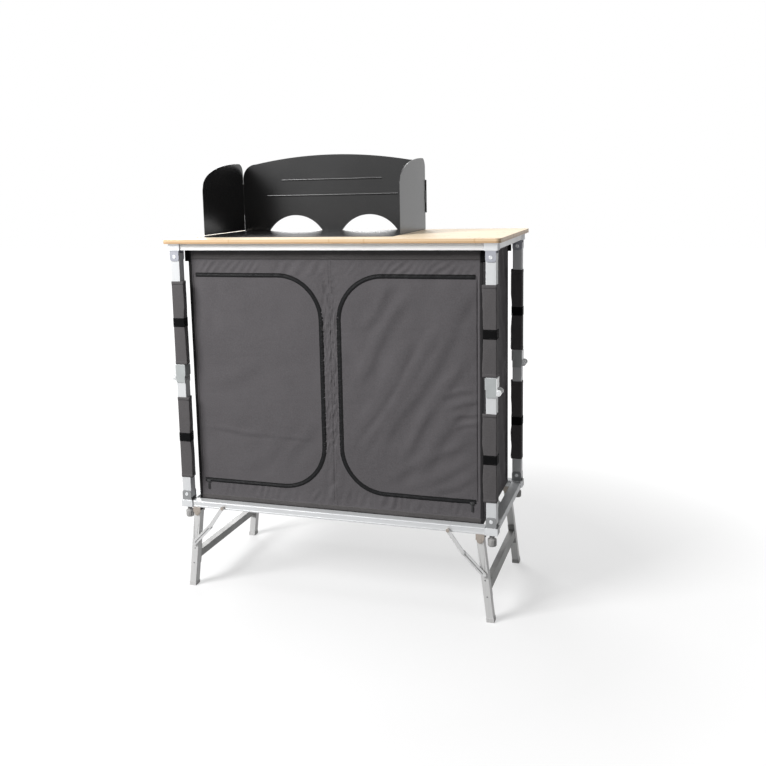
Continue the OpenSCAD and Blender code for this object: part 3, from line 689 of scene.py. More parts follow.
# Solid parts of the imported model


@dataclass(frozen=True)
class DressedNode:
    """Finish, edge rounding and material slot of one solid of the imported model."""

    node: str
    finish: str
    slot: str
    edge: float = 0.6

    def dress(self, finishes: Finishes) -> None:
        """Gives the solid its finish and rounds its edges.

        Args:
            finishes: All finishes.
        """
        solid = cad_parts[self.node]
        solid.data.materials.clear()
        solid.data.materials.append(finishes[self.finish])
        solid.data.polygons.foreach_set("material_index", [0] * len(solid.data.polygons))
        weld = solid.modifiers.new("weld", "WELD")
        weld.merge_threshold = 1e-6
        bevel = solid.modifiers.new("rounded_edges", "BEVEL")
        bevel.width = self.edge * MM
        bevel.segments = 2
        bevel.limit_method = "ANGLE"
        bevel.angle_limit = math.radians(42.0)
        solid.data.polygons.foreach_set("use_smooth", [True] * len(solid.data.polygons))
        soft = solid.modifiers.new("even_shading", "WEIGHTED_NORMAL")
        soft.keep_sharp = True
        solid.data.update()


@dataclass
class RigidParts:
    """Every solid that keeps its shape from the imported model."""

    finishes: Finishes

    def nodes(self) -> list[DressedNode]:
        """The solids and their finishes.

        Returns:
            One entry for each solid.
        """
        kept = [
            DressedNode("bottom_long_rails", "aluminium_long", "frame_metal"),
            DressedNode("bottom_side_rails", "aluminium_deep", "frame_metal"),
            # The top rails take the lighter copy of the aluminium, with its painted light.
            DressedNode("top_long_rails", "aluminium_top_rails_painted_light", "frame_metal"),
            DressedNode("top_side_rails", "aluminium_top_sides", "frame_metal"),
            DressedNode("lower_corner_brackets", "lower_bracket_metal", "hinge_metal", 0.8),
            DressedNode("top_corner_brackets", "top_bracket_paint", "bracket_paint", 0.8),
            DressedNode("leg_brackets", "tan_metal", "leg_bracket_metal", 0.4),
            DressedNode("base_board", "board", "board_plastic", 0.8),
            DressedNode("shelf", "board", "board_plastic", 0.5),
            DressedNode("worktop", "bamboo", "bamboo", 2.2),
        ]
        for corner in Corner:
            kept += [
                DressedNode(f"{corner.word}_lower_post", "aluminium_posts", "frame_metal", 0.9),
                DressedNode(f"{corner.word}_upper_post", "aluminium_posts", "frame_metal", 0.9),
                DressedNode(f"{corner.word}_hinge_cap", "hinge_metal", "hinge_metal", 0.6),
                DressedNode(f"{corner.word}_mid_collar", "collar_metal", "hinge_metal", 0.6),
            ]
        for side in Side:
            kept += [
                DressedNode(f"{side.word}_front_leg", "aluminium_legs", "frame_metal"),
                DressedNode(f"{side.word}_back_leg", "aluminium_legs", "frame_metal"),
                # The crossbars take the darker copy of the aluminium, with its painted shade.
                DressedNode(f"{side.word}_crossbar", "crossbar_metal_painted_shade", "frame_metal"),
                DressedNode(f"{side.word}_leg_fittings", "leg_ends", "black_plastic", 0.5),
                DressedNode(f"{side.word}_strut_rail_bars", "aluminium_bars", "frame_metal", 0.4),
                DressedNode(f"{side.word}_strut_leg_bars", "aluminium_bars", "frame_metal", 0.4),
                DressedNode(f"windscreen_{side.word}_wing", "black_coating", "screen_paint", 0.25),
            ]
        kept += [DressedNode(f"windscreen_{part}", "black_coating", "screen_paint", 0.25)
                 for part in ("tray", "back")]
        return kept

    def build(self) -> None:
        """Dresses every solid that stays."""
        for node in self.nodes():
            node.dress(self.finishes)
            LOG.info("dressed %s", node.node)


@dataclass
class LevellingKnobs:
    """Four fluted rubber knobs on short stems under the posts."""

    finishes: Finishes
    post_x: float = 466.0
    post_y: float = 216.0
    top_z: float = 254.0
    stem_r: float = 7.5
    knob_r: float = 12.4
    flutes: int = 12
    flute_depth: float = 0.9

    def profile(self) -> list[tuple[float, float, float]]:
        """Radius, height below the rail and share of the fluting down the knob.

        Returns:
            Those three for each ring of points.
        """
        r, k = self.stem_r, self.knob_r
        return [(0.01, 0.0, 0), (r, 0.0, 0), (r, -1.6, 0), (r - 0.8, -2.2, 0), (r - 0.8, -4.6, 0),
                (r, -5.2, 0), (r, -8.4, 0), (r - 0.8, -9.0, 0), (r - 0.8, -12.6, 0), (r + 1.0, -13.4, 0),
                (k - 2.2, -13.8, 0), (k - 0.7, -14.4, 0.5), (k, -15.8, 1), (k, -22.0, 1), (k, -30.5, 1),
                (k - 0.4, -32.4, 0.9), (k - 1.5, -34.2, 0.3), (k - 3.0, -35.0, 0), (6.0, -35.0, 0),
                (5.2, -34.2, 0), (0.01, -34.0, 0)]

    def build(self) -> None:
        """Makes the knobs as one piece."""
        draft = MeshDraft()
        turns = np.linspace(0.0, 2.0 * math.pi, 96, endpoint=False)
        groove = (0.5 - 0.5 * np.cos(turns * self.flutes)) ** 3
        for corner in Corner:
            _, sx, sy = corner.value
            rows = []
            for radius, down, share in self.profile():
                reach = radius - self.flute_depth * share * groove
                rows.append(np.stack([sx * self.post_x + reach * np.cos(turns),
                                      sy * self.post_y + reach * np.sin(turns),
                                      np.full_like(turns, self.top_z + down)], axis=1))
            draft.grid(np.array(rows), ring=True, flip=True)
        knobs = draft.piece("fluted_levelling_knobs", self.finishes["rubber"], "base_frame",
                            "knob_rubber", even=True)
        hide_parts("levelling_knobs")
        LOG.info("built %s", knobs.name)


@dataclass
class LegRivets:
    """Domed rivets on the outer faces of the legs, at the crossbars and low down."""

    finishes: Finishes
    pivot_x: float = 435.0
    pivot_z: float = 236.0
    face_y: float = 230.0
    lean: float = 6.862
    along: tuple[float, ...] = (115.0, 163.0)
    radius: float = 2.6
    rise: float = 1.1

    def build(self) -> None:
        """Makes the rivets of both sets of legs."""
        turns = np.linspace(0.0, 2.0 * math.pi, 24, endpoint=False)
        lean = math.radians(self.lean)
        for side in Side:
            draft = MeshDraft()
            for sy in (-1, 1):
                for down in self.along:
                    cx = side.sign * (self.pivot_x + down * math.sin(lean))
                    cz = self.pivot_z - down * math.cos(lean)
                    rows = [np.stack([cx + r * self.radius * np.cos(turns),
                                      np.full_like(turns, sy * (self.face_y - 0.3 + h * self.rise)),
                                      cz + r * self.radius * np.sin(turns)], axis=1)
                            for r, h in ((1.0, 0.0), (1.0, 0.5), (0.8, 0.85), (0.45, 1.0), (0.01, 1.05))]
                    draft.grid(np.array(rows), ring=True)
            rivets = draft.piece(f"{side.word}_leg_rivets", self.finishes["rivet_metal"], f"{side.word}_legs",
                                 "steel", even=True)
            LOG.info("built %s", rivets.name)


@dataclass
class RailBeads:
    """Fine beads along the outer faces of the long rails."""

    finishes: Finishes
    reach: float = 446.0
    face_y: float = 230.0
    radius: float = 1.3
    bottom: tuple[float, ...] = (257.4, 270.8)
    top: tuple[float, ...] = (1037.2, 1050.6)

    def build(self) -> None:
        """Makes the beads of the bottom rails and of the top rails."""
        # The top beads take the top rails' lighter copy of the aluminium, with its painted light.
        for word, heights, finish, body in (("bottom", self.bottom, "aluminium_long", "base_frame"),
                                            ("top", self.top, "aluminium_top_rails_painted_light", "top_frame")):
            draft = MeshDraft()
            for sy in (-1, 1):
                for z in heights:
                    bend = np.linspace(0.0, math.pi, 9)
                    rows = [np.stack([np.full_like(bend, x),
                                      sy * (self.face_y - 0.35 + self.radius * 0.7 * np.sin(bend)),
                                      z + self.radius * np.cos(bend)], axis=1)
                            for x in spaced(-self.reach, self.reach, 60.0)]
                    draft.grid(np.array(rows), ring=True)
            beads = draft.piece(f"{word}_rail_beads", self.finishes[finish], body, "frame_metal", even=True)
            LOG.info("built %s", beads.name)


# Cloth


@dataclass(frozen=True)
class CupboardBox:
    """Outer sizes of the cloth cupboard, its hems and the height of its shelf."""

    half: float = 438.0
    depth: float = 197.0
    low: float = 273.0
    high: float = 1052.0
    hem_low: float = 288.0
    hem_high: float = 1005.0
    hem_step: float = 1.2
    shelf_z: float = 648.0

    def hem_rows(self) -> list[float]:
        """Heights where the doubled cloth of a hem starts and ends."""
        return [self.hem_low - self.hem_step, self.hem_low, self.hem_high, self.hem_high + self.hem_step]

    def hem(self, z: Array) -> Array:
        """How far the doubled cloth of the hems stands out at each height."""
        top = soft_step(z, self.hem_high, self.hem_high + self.hem_step)
        return 0.5 * top + 0.4 * (1.0 - soft_step(z, self.hem_low - self.hem_step, self.hem_low))


@dataclass(frozen=True)
class Crease:
    """One soft fold along a line on a wall."""

    start: tuple[float, float]
    end: tuple[float, float]
    width: float
    rise: float

    def at(self, u: Array, v: Array) -> Array:
        """Height of the fold over the wall.

        Args:
            u: Place across the wall in millimetres.
            v: Height on the wall in millimetres.

        Returns:
            How far the cloth stands out there.
        """
        au, av = self.start
        du, dv = self.end[0] - au, self.end[1] - av
        length = math.hypot(du, dv)
        along = ((u - au) * du + (v - av) * dv) / length**2
        off = ((u - au) * dv - (v - av) * du) / length / self.width
        off = off + 0.35 * np.sin(along * 7.0 + au)
        fade = soft_step(along, -0.05, 0.3) * soft_step(-along, -1.05, -0.7)
        return 1.7 * self.rise * fade * (np.exp(-off * off) - 0.6 * np.exp(-((off - 1.6) / 1.1) ** 2))


@dataclass(frozen=True)
class Pleats:
    """Row of slanted pleats in a band of the wall."""

    u: tuple[float, float]
    v: tuple[float, float]
    pitch: float
    slant: float
    rise: float
    seed: int

    def at(self, u: Array, v: Array) -> Array:
        """Height of the pleats over the wall.

        Args:
            u: Place across the wall in millimetres.
            v: Height on the wall in millimetres.

        Returns:
            How far the cloth stands out there.
        """
        wander = 0.27 * self.pitch * ripple(u, v * 0.3, self.pitch * 2.6, self.seed)
        wave = np.sin((u - self.slant * (v - self.v[0]) + wander) * 2.0 * math.pi / self.pitch)
        crest = np.sign(wave) * np.abs(wave) ** 0.75
        ends = soft_step(u, self.u[0], self.u[0] + 30) * soft_step(-u, -self.u[1], -self.u[1] + 30)
        band = soft_step(v, self.v[0], self.v[0] + 9) * soft_step(-v, -self.v[1], -self.v[1] + 7)
        uneven = 0.6 + 0.55 * ripple(u, v * 0.4, self.pitch * 3, self.seed + 1)
        return self.rise * crest * ends * band * uneven


@dataclass
class FrontDrape:
    """How the cloth of the front stands out of its plane, doors and wall alike."""

    box: CupboardBox = CupboardBox()
    proud: float = 2.1
    deep: float = 5.5
    deep_at_shelf: float = 1.4
    seam_x: float = 4.0

    def creases(self) -> list[Crease]:
        """The single folds that the doors show.

        Returns:
            The folds.
        """
        return [
            Crease((52, 470), (255, 800), 17, 2.3), Crease((70, 420), (330, 850), 15, 1.9),
            Crease((120, 440), (395, 890), 19, 2.2), Crease((180, 410), (400, 760), 15, 1.7),
            Crease((60, 640), (235, 930), 18, 1.8), Crease((90, 800), (190, 945), 15, 1.2),
            Crease((230, 380), (415, 650), 17, 1.6), Crease((250, 700), (415, 945), 17, 1.3),
            Crease((150, 372), (410, 520), 13, 1.4), Crease((215, 350), (418, 455), 11, 1.5),
            Crease((290, 345), (420, 405), 9, 1.2),
            Crease((330, 598), (430, 622), 7, 1.5), Crease((345, 570), (432, 588), 6, 1.3),
            Crease((318, 632), (428, 655), 8, 1.3), Crease((350, 540), (430, 562), 7, 1.0),
            Crease((-405, 945), (-320, 800), 20, 1.4), Crease((-350, 950), (-255, 830), 17, 0.9),
            Crease((-408, 500), (-190, 486), 7, 1.0), Crease((-230, 492), (-50, 478), 6, 0.8),
            Crease((-400, 640), (-200, 700), 24, 0.8), Crease((-300, 360), (-120, 520), 24, 1.0),
            Crease((-170, 380), (-45, 560), 18, 1.0), Crease((-90, 700), (-210, 900), 22, 0.9),
            Crease((-20, 990), (18, 905), 8, 1.4), Crease((14, 360), (-12, 300), 9, 1.2),
        ]

    def pleats(self) -> list[Pleats]:
        """The rows of pleats beside the zips and the hems.

        Returns:
            The rows.
        """
        return [
            Pleats((40, 434), (958, 1004), 27, 0.95, 1.5, 11),
            Pleats((-436, -200), (958, 1004), 25, 0.9, 1.1, 12),
            Pleats((-260, 60), (955, 1004), 44, 0.7, 0.9, 13),
            Pleats((-400, 410), (288, 333), 23, 0.3, 0.9, 14),
            Pleats((-60, 80), (286, 400), 30, 0.2, 0.6, 15),
            Pleats((-436, 436), (1006, 1050), 46, 0.2, 0.5, 16),
        ]

    def at(self, u: Array, v: Array) -> Array:
        """How far the cloth stands out towards the front.

        Args:
            u: X in millimetres.
            v: Z in millimetres.

        Returns:
            Distance in front of the plane of the front.
        """
        total = sum(crease.at(u, v) for crease in self.creases())
        total = total + sum(row.at(u, v) for row in self.pleats())
        strip = 1.0 - soft_step(np.abs(u), 18.0, 34.0)
        tall = soft_step(v, 400.0, 470.0) * soft_step(-v, -985.0, -930.0)
        crumple = ripple(u * 0.45, v, 17.0, 21) + 0.7 * ripple(u * 0.6, v, 9.0, 22)
        ridged = 0.6 - 1.6 * np.abs(np.tanh(crumple))
        total = total + 2.0 * strip * tall * ridged
        total = total - 0.8 * np.exp(-(((u - self.seam_x) / 2.2) ** 2)) * soft_step(v, 275.0, 300.0)
        left = (u < 0.0) * 1.0
        total = total + (1.1 - 0.5 * left) * ripple(u, v, 210.0, 31)
        total = total + (0.55 - 0.25 * left) * ripple(u, v, 74.0, 32)
        total = total + 0.16 * ripple(u, v, 26.0, 33)
        near_shelf = 1.0 - soft_step(np.abs(v - self.box.shelf_z), 10.0, 45.0)
        deep = self.deep - (self.deep - self.deep_at_shelf) * near_shelf
        total = np.where(total > 0, self.proud * np.tanh(total / self.proud), -deep * np.tanh(-total / deep))
        box = self.box
        edge = soft_step(box.half - np.abs(u), 0.0, 14.0) * soft_step(v, box.low, box.low + 14.0)
        edge = edge * soft_step(-v, -box.high, -box.high + 8.0)
        return total * edge + box.hem(v)


@dataclass(frozen=True)
class DoorEdge:
    """Rounded free edge of a door, which its zip follows."""

    hinge: float = 424.0
    middle: float = 27.0
    low: float = 334.0
    high: float = 960.0
    radius: float = 130.0

    def reach(self, z: Array) -> Array:
        """Distance of the free edge from the middle of the cupboard at a height."""
        inside = np.clip(np.minimum(z - self.low, self.high - z), 0.0, self.radius)
        return self.middle + self.radius - np.sqrt(self.radius**2 - (self.radius - inside) ** 2)

    def rows(self, step: float) -> Array:
        """Heights that follow the round corners closely.

        Args:
            step: Distance between two heights along the straight part.

        Returns:
            The heights, from the lowest up.
        """
        turn = self.radius * (1.0 - np.cos(np.linspace(0.0, math.pi / 2.0, 22)))
        straight = spaced(self.low + self.radius, self.high - self.radius, step)
        return np.unique(np.concatenate([self.low + turn, straight, self.high - turn]).round(4))

    def path(self, end: float, step: float) -> tuple[Array, Array]:
        """Points along the free edge, and the directions out of the door.

        Args:
            end: How far both ends stay from the middle of the cupboard.
            step: Distance between two points.

        Returns:
            X and Z of each point on the right side, and of each direction.
        """
        r, cx = self.radius, self.middle + self.radius
        marks = [((end - x, self.high), (0.0, 1.0)) for x in spaced(0.0, end - cx, step)]
        for centre_z, start in ((self.high - r, math.pi / 2), (self.low + r, math.pi)):
            for turn in spaced(0.0, math.pi / 2, step / r)[1:]:
                way = (math.cos(start + turn), math.sin(start + turn))
                marks.append(((cx + r * way[0], centre_z + r * way[1]), way))
            if centre_z > self.low + r:
                upright = spaced(0.0, self.high - self.low - 2 * r, step)[1:]
                marks += [((self.middle, centre_z - z), (-1.0, 0.0)) for z in upright]
        marks += [((x, self.low), (0.0, -1.0)) for x in spaced(cx, end, step)[1:]]
        points, out = zip(*marks)
        return np.array(points), np.array(out)


@dataclass
class CupboardFront:
    """Front wall of the cupboard with its two doors, zips and stitching."""

    finishes: Finishes
    drape: FrontDrape = field(default_factory=FrontDrape)
    edge: DoorEdge = field(default_factory=DoorEdge)
    box: CupboardBox = CupboardBox()
    cell: float = 5.5
    gap: float = 0.2
    cloth: float = 0.9
    hem_cloth: float = 0.28
    tape_cloth: float = 0.25
    zip_end: float = 418.0
    middle_columns: int = 61
    opening_columns: int = 56
    door_columns: int = 70
    stitch: float = 4.4
    tooth: float = 1.1
    tooth_gap: float = 0.30
    tooth_foot: float = 0.55
    wall: Piece | None = None

    def lay(self, x: Array, z: Array, proud: float | Array = 0.0) -> Array:
        """Puts places on the front onto its draped surface.

        Args:
            x: X of each place.
            z: Z of each place.
            proud: Height over the cloth.

        Returns:
            X, Y and Z of each place.
        """
        x, z = np.broadcast_arrays(np.asarray(x, float), np.asarray(z, float))
        return np.stack([x, -self.box.depth - self.drape.at(x, z) - proud, z], axis=-1)

    def heights(self) -> Array:
        """Heights of the rows of the front wall."""
        low, high = spaced(self.box.low, self.edge.low, 3.0), spaced(self.edge.high, self.box.high, 3.0)
        return np.unique(np.concatenate([low, self.edge.rows(self.cell), high, self.box.hem_rows()]).round(4))

    def build_wall(self) -> None:
        """Makes the front wall round the two door openings."""
        z = self.heights()
        reach = self.edge.reach(z)
        inside = (z > self.edge.low + 1e-6) & (z < self.edge.high - 1e-6)
        outside = (z <= self.edge.low) | (z >= self.edge.high)
        reach = np.where(outside, self.edge.middle + self.edge.radius, reach)
        middle = np.linspace(-1.0, 1.0, self.middle_columns)
        beside = np.linspace(0.0, 1.0, self.opening_columns + 1)[1:]
        outer = spaced(self.edge.hinge, self.box.half, 3.5)[1:]
        rows = []
        for height, free in zip(z, reach):
            free = free - self.gap
            core = middle * free
            door = free + (self.edge.hinge - free) * beside
            right = np.concatenate([door, outer])
            x = np.concatenate([-right[::-1], core, right])
            rows.append(self.lay(x, np.full_like(x, height)))
        count = len(beside) + len(outer)
        right_from = count + self.middle_columns - 1
        skip = np.zeros((len(z), 2 * count + self.middle_columns), bool)
        for i in range(len(z) - 1):
            if inside[i] or inside[i + 1]:
                skip[i, len(outer):count] = True
                skip[i, right_from:right_from + len(beside)] = True
        draft = MeshDraft()
        draft.grid(np.array(rows), skip=skip)
        self.wall = draft.piece("cupboard_front_cloth", self.finishes["wall_cloth"], "base_frame",
                                "cloth", self.cloth)
        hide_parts("cupboard_front")

    def build_door(self, side: Side) -> Piece:
        """Makes one door, from its hinge line to its rounded free edge.

        Args:
            side: Side of the door.

        Returns:
            The door.
        """
        z = self.edge.rows(self.cell)
        share = np.linspace(0.0, 1.0, self.door_columns)
        rows = []
        for height, free in zip(z, self.edge.reach(z)):
            free = free + self.gap
            x = side.sign * (free + (self.edge.hinge - free) * share)
            rows.append(self.lay(x, np.full_like(x, height)))
        draft = MeshDraft()
        draft.grid(np.array(rows), flip=side is Side.LEFT)
        door = draft.piece(f"{side.word}_door_cloth", self.finishes["wall_cloth"], f"{side.word}_door",
                           "cloth", self.cloth)
        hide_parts(f"{side.word}_door")
        return door

    def build_tape(self, side: Side, on_door: bool) -> list[Piece]:
        """Makes one half of a zip: its tape and its row of teeth.

        Args:
            side: Side of the zip.
            on_door: Whether it is the door's half.

        Returns:
            The tape and the teeth.
        """
        points, out = self.edge.path(self.zip_end, self.tooth)
        way = -1.0 if on_door else 1.0
        body = f"{side.word}_door" if on_door else "base_frame"
        place = "door" if on_door else "wall"
        tape = [(0.25, 0.1), (0.35, 0.75), (3.2, 0.75), (5.6, 0.7), (6.1, 0.45), (6.1, 0.05)]
        teeth = [(0.2, 0.4), (0.25, 1.0), (0.8, 1.3), (1.6, 1.3), (2.2, 0.95), (2.3, 0.6)]
        made = []
        for kind, profile, finish in (("tape", tape, "zip_tape"), ("teeth", teeth, "zip_coil")):
            rows = []
            beat = 1.0 - self.tooth_gap * (np.arange(len(points)) % 2 if kind == "teeth" else 0)
            for offset, rise in profile:
                place_xz = points + out * offset * way
                rise_now = self.tooth_foot + (rise - self.tooth_foot) * beat if kind == "teeth" else rise
                rows.append(self.lay(side.sign * place_xz[:, 0], place_xz[:, 1], rise_now))
            draft = MeshDraft()
            draft.grid(np.array(rows), flip=(side is Side.LEFT) != on_door)
            made.append(draft.piece(f"{side.word}_zip_{place}_{kind}", self.finishes[finish], body,
                                    "zip_black", self.tape_cloth))
        return made

    def build_stitching(self) -> Piece:
        """Makes the rows of stitches along the hems and the middle seam.

        Returns:
            The stitches, as one piece.
        """
        draft = MeshDraft()
        for z in (self.box.hem_high + 3.0, self.box.high - 4.0, self.box.hem_low - 3.0):
            for x in spaced(-self.box.half + 6, self.box.half - 6, self.stitch):
                draft.block(self.lay(x, z, 0.12), (3.1, 0.4, 0.6))
        for x in (self.drape.seam_x - 4.0, self.drape.seam_x + 4.0):
            for z in spaced(self.box.hem_low + 4, self.box.hem_high - 4, self.stitch):
                draft.block(self.lay(x, z, 0.12), (0.6, 0.4, 3.1))
        return draft.piece("front_stitching", self.finishes["thread"], "base_frame", "cloth", smooth=False)

    def build_bands(self) -> list[Piece]:
        """Makes the hem bands across the front, top and bottom.

        Returns:
            Both bands.
        """
        made = []
        for name, low, high in (("top_hem_band", self.box.hem_high + 0.6, self.box.high - 0.4),
                                ("bottom_hem_band", self.box.low + 0.3, self.box.hem_low - 0.6)):
            z, x = spaced(low, high, 3.0), spaced(-self.box.half + 0.4, self.box.half - 0.4, 5.0)
            rows = np.array([self.lay(x, np.full_like(x, height), 0.3) for height in z])
            draft = MeshDraft()
            draft.grid(rows)
            made.append(draft.piece(name, self.finishes["hem_cloth"], "base_frame", "cloth",
                                    self.hem_cloth))
        return made

    def build(self) -> None:
        """Makes the front with its doors, bands, stitching and zips, each with a mesh of its own."""
        self.build_wall()
        doors = {side: self.build_door(side) for side in Side}
        on_wall = self.build_bands() + [self.build_stitching()]
        on_door: dict[Side, list[Piece]] = {}
        for side in Side:
            on_wall += self.build_tape(side, False)
            on_door[side] = self.build_tape(side, True)
        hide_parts("zip_tapes")
        for piece in [self.wall, *doors.values(), *on_wall, *on_door[Side.LEFT], *on_door[Side.RIGHT]]:
            fold_away(piece)
            LOG.info("built %s", piece.name)


@dataclass
class ZipSliders:
    """Sliders of the two zips with their hanging pulls."""

    finishes: Finishes
    x: float = 407.0
    z: float = 329.0
    face_y: float = -198.1
    length: float = 13.0

    def plate(self, draft: MeshDraft, centre: Point, size: Point, round_ends: bool = True) -> None:
        """Adds a small plate with round ends and a bevelled front.

        Args:
            draft: Mesh that takes it.
            centre: Middle of its back face.
            size: Its extent along X, Y and Z.
            round_ends: Whether its corners are round.
        """
        wide, thick, tall = size
        turns = np.linspace(0.0, 2.0 * math.pi, 32, endpoint=False)
        power = 0.5 if round_ends else 0.3
        cx = np.sign(np.cos(turns)) * np.abs(np.cos(turns)) ** power * wide / 2
        cz = np.sign(np.sin(turns)) * np.abs(np.sin(turns)) ** power * tall / 2
        rows = []
        for share, depth in ((0.02, 0.0), (1.0, 0.0), (1.0, 0.7), (0.86, 1.0), (0.02, 1.0)):
            rows.append(np.stack([centre[0] + cx * share, np.full_like(cx, centre[1] - depth * thick),
                                  centre[2] + cz * share], axis=1))
        draft.grid(np.array(rows), ring=True)

    def build(self) -> None:
        """Makes both sliders."""
        for side in Side:
            x = side.sign * self.x
            draft = MeshDraft()
            self.plate(draft, (x, self.face_y, self.z), (self.length, 0.9, 9.0))
            self.plate(draft, (x, self.face_y - 0.7, self.z), (self.length - 5.0, 0.8, 3.0))
            self.plate(draft, (x, self.face_y - 0.55, self.z - 3.6), (3.4, 0.9, 7.0), False)
            self.plate(draft, (x, self.face_y - 0.5, self.z - 15.5), (6.0, 1.0, 18.0), False)
            self.plate(draft, (x, self.face_y - 1.3, self.z - 15.5), (4.2, 0.45, 13.0), False)
            slider = draft.piece(f"{side.word}_zip_slider_body", self.finishes["slider_metal"],
                                 f"{side.word}_slider", "zip_black", even=True)
            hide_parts(f"{side.word}_zip_slider")
            LOG.info("built %s", slider.name)


@dataclass
class PlainWalls:
    """Side walls and back wall of the cupboard, softly bulging, with bound corners."""

    finishes: Finishes
    box: CupboardBox = CupboardBox()
    cell: float = 9.0
    cloth: float = 0.9
    side_inset: float = 0.6
    back_inset: float = 0.2
    binding: float = 8.0
    binding_cloth: float = 0.5
    proud: float = 2.4
    sunk: float = 9.0

    def bulge(self, u: Array, v: Array, reach: float, seed: int) -> Array:
        """How far a plain wall stands out.

        Args:
            u: Place across the wall in millimetres.
            v: Height on the wall in millimetres.
            reach: Half width of the wall.
            seed: Number that fixes its folds.

        Returns:
            Distance in front of the plane of the wall.
        """
        total = 2.6 * ripple(u, v * 0.55, 190.0, seed) + 0.9 * ripple(u, v, 70.0, seed + 1)
        total = total + 0.25 * ripple(u, v, 27.0, seed + 2)
        lean = (u + 0.35 * (v - 650.0) + 14.0 * ripple(u, v, 160.0, seed + 3)) * 2 * math.pi / 96.0
        total = total + 1.9 * np.sin(lean) * soft_step(np.abs(v - 660.0), 40.0, 300.0)
        total = total + 1.3 * ripple(u + 0.5 * v, (v - 0.5 * u) * 0.16, 58.0, seed + 4) - 1.6
        limit = np.where(total > 0, self.proud, self.sunk)
        total = limit * np.tanh(total / limit)
        near_shelf = soft_step(np.abs(v - self.box.shelf_z), 8.0, 40.0)
        total = np.where(total < 0, total * (0.3 + 0.7 * near_shelf), total)
        edge = soft_step(reach - np.abs(u), 0.0, 22.0) * soft_step(v, self.box.low, self.box.low + 18.0)
        return total * edge * soft_step(-v, -self.box.high, -self.box.high + 12.0)

    def wall(self, name: str, reach: float, seed: int, turn: Matrix, node: str, off: float) -> Piece:
        """Makes one plain wall.

        Args:
            name: Name of the piece.
            reach: Half width of the wall.
            seed: Number that fixes its folds.
            turn: Turn from the front to the wall's own side.
            node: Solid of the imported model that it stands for.
            off: Distance of the wall from the middle.

        Returns:
            The wall.
        """
        u = spaced(-reach, reach, self.cell)
        v = np.unique(np.concatenate([spaced(self.box.low, self.box.high, self.cell), self.box.hem_rows()]))
        uu, vv = np.meshgrid(u, v)
        stand = off + self.bulge(uu, vv, reach, seed) + 0.8 * self.box.hem(vv)
        rows = np.stack([uu, -stand, vv], axis=-1)
        rows = rows @ np.array(turn)[:3, :3].T
        draft = MeshDraft()
        draft.grid(rows)
        made = draft.piece(name, self.finishes["wall_cloth"], "base_frame", "cloth", self.cloth)
        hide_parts(node)
        return made

    def bind_corner(self, sx: int, sy: int) -> Piece:
        """Makes the binding over one upright edge of the cupboard.

        Args:
            sx: Sign of the edge along X.
            sy: Sign of the edge along Y.

        Returns:
            The binding.
        """
        w, t = self.binding, 0.55
        bend = [(-w, t), (-w + 0.6, t + 0.25), (-3.0, t + 0.3), (-0.8, t + 0.25), (t, t), (t + 0.25, 0.8 - t),
                (t + 0.3, -3.0), (t + 0.25, -w + 0.6), (t, -w)]
        rows = []
        for z in spaced(self.box.low + 0.5, self.box.high - 0.5, 9.0):
            sway = 0.22 * math.sin(z / 17.0) + 0.15 * math.sin(z / 6.3)
            rows.append([(sx * (self.box.half + a + (sway if a < -1 else 0)),
                          sy * (self.box.depth + b + (sway if b < -1 else 0)), z) for a, b in bend])
        draft = MeshDraft()
        draft.grid(np.array(rows), flip=sx * sy > 0)
        word = ("front" if sy < 0 else "back") + ("_left" if sx < 0 else "_right")
        return draft.piece(f"{word}_binding", self.finishes["binding_cloth"], "base_frame", "cloth",
                           self.binding_cloth)

    def build(self) -> None:
        """Makes the walls and bindings, each with a mesh of its own."""
        quarter = math.pi / 2
        side_reach = self.box.depth - self.side_inset
        right = self.wall("right_side_cloth", side_reach, 41, Matrix.Rotation(quarter, 4, "Z"),
                          "cupboard_sides", self.box.half)
        left = self.wall("left_side_cloth", side_reach, 47, Matrix.Rotation(-quarter, 4, "Z"),
                         "cupboard_sides", self.box.half)
        back = self.wall("back_cloth", self.box.half - self.back_inset, 53, Matrix.Rotation(math.pi, 4, "Z"),
                         "cupboard_back", self.box.depth)
        strips = {(sx, sy): self.bind_corner(sx, sy) for sx in (-1, 1) for sy in (-1, 1)}
        for piece in (right, left, back, *strips.values()):
            fold_away(piece)
            LOG.info("built %s", piece.name)


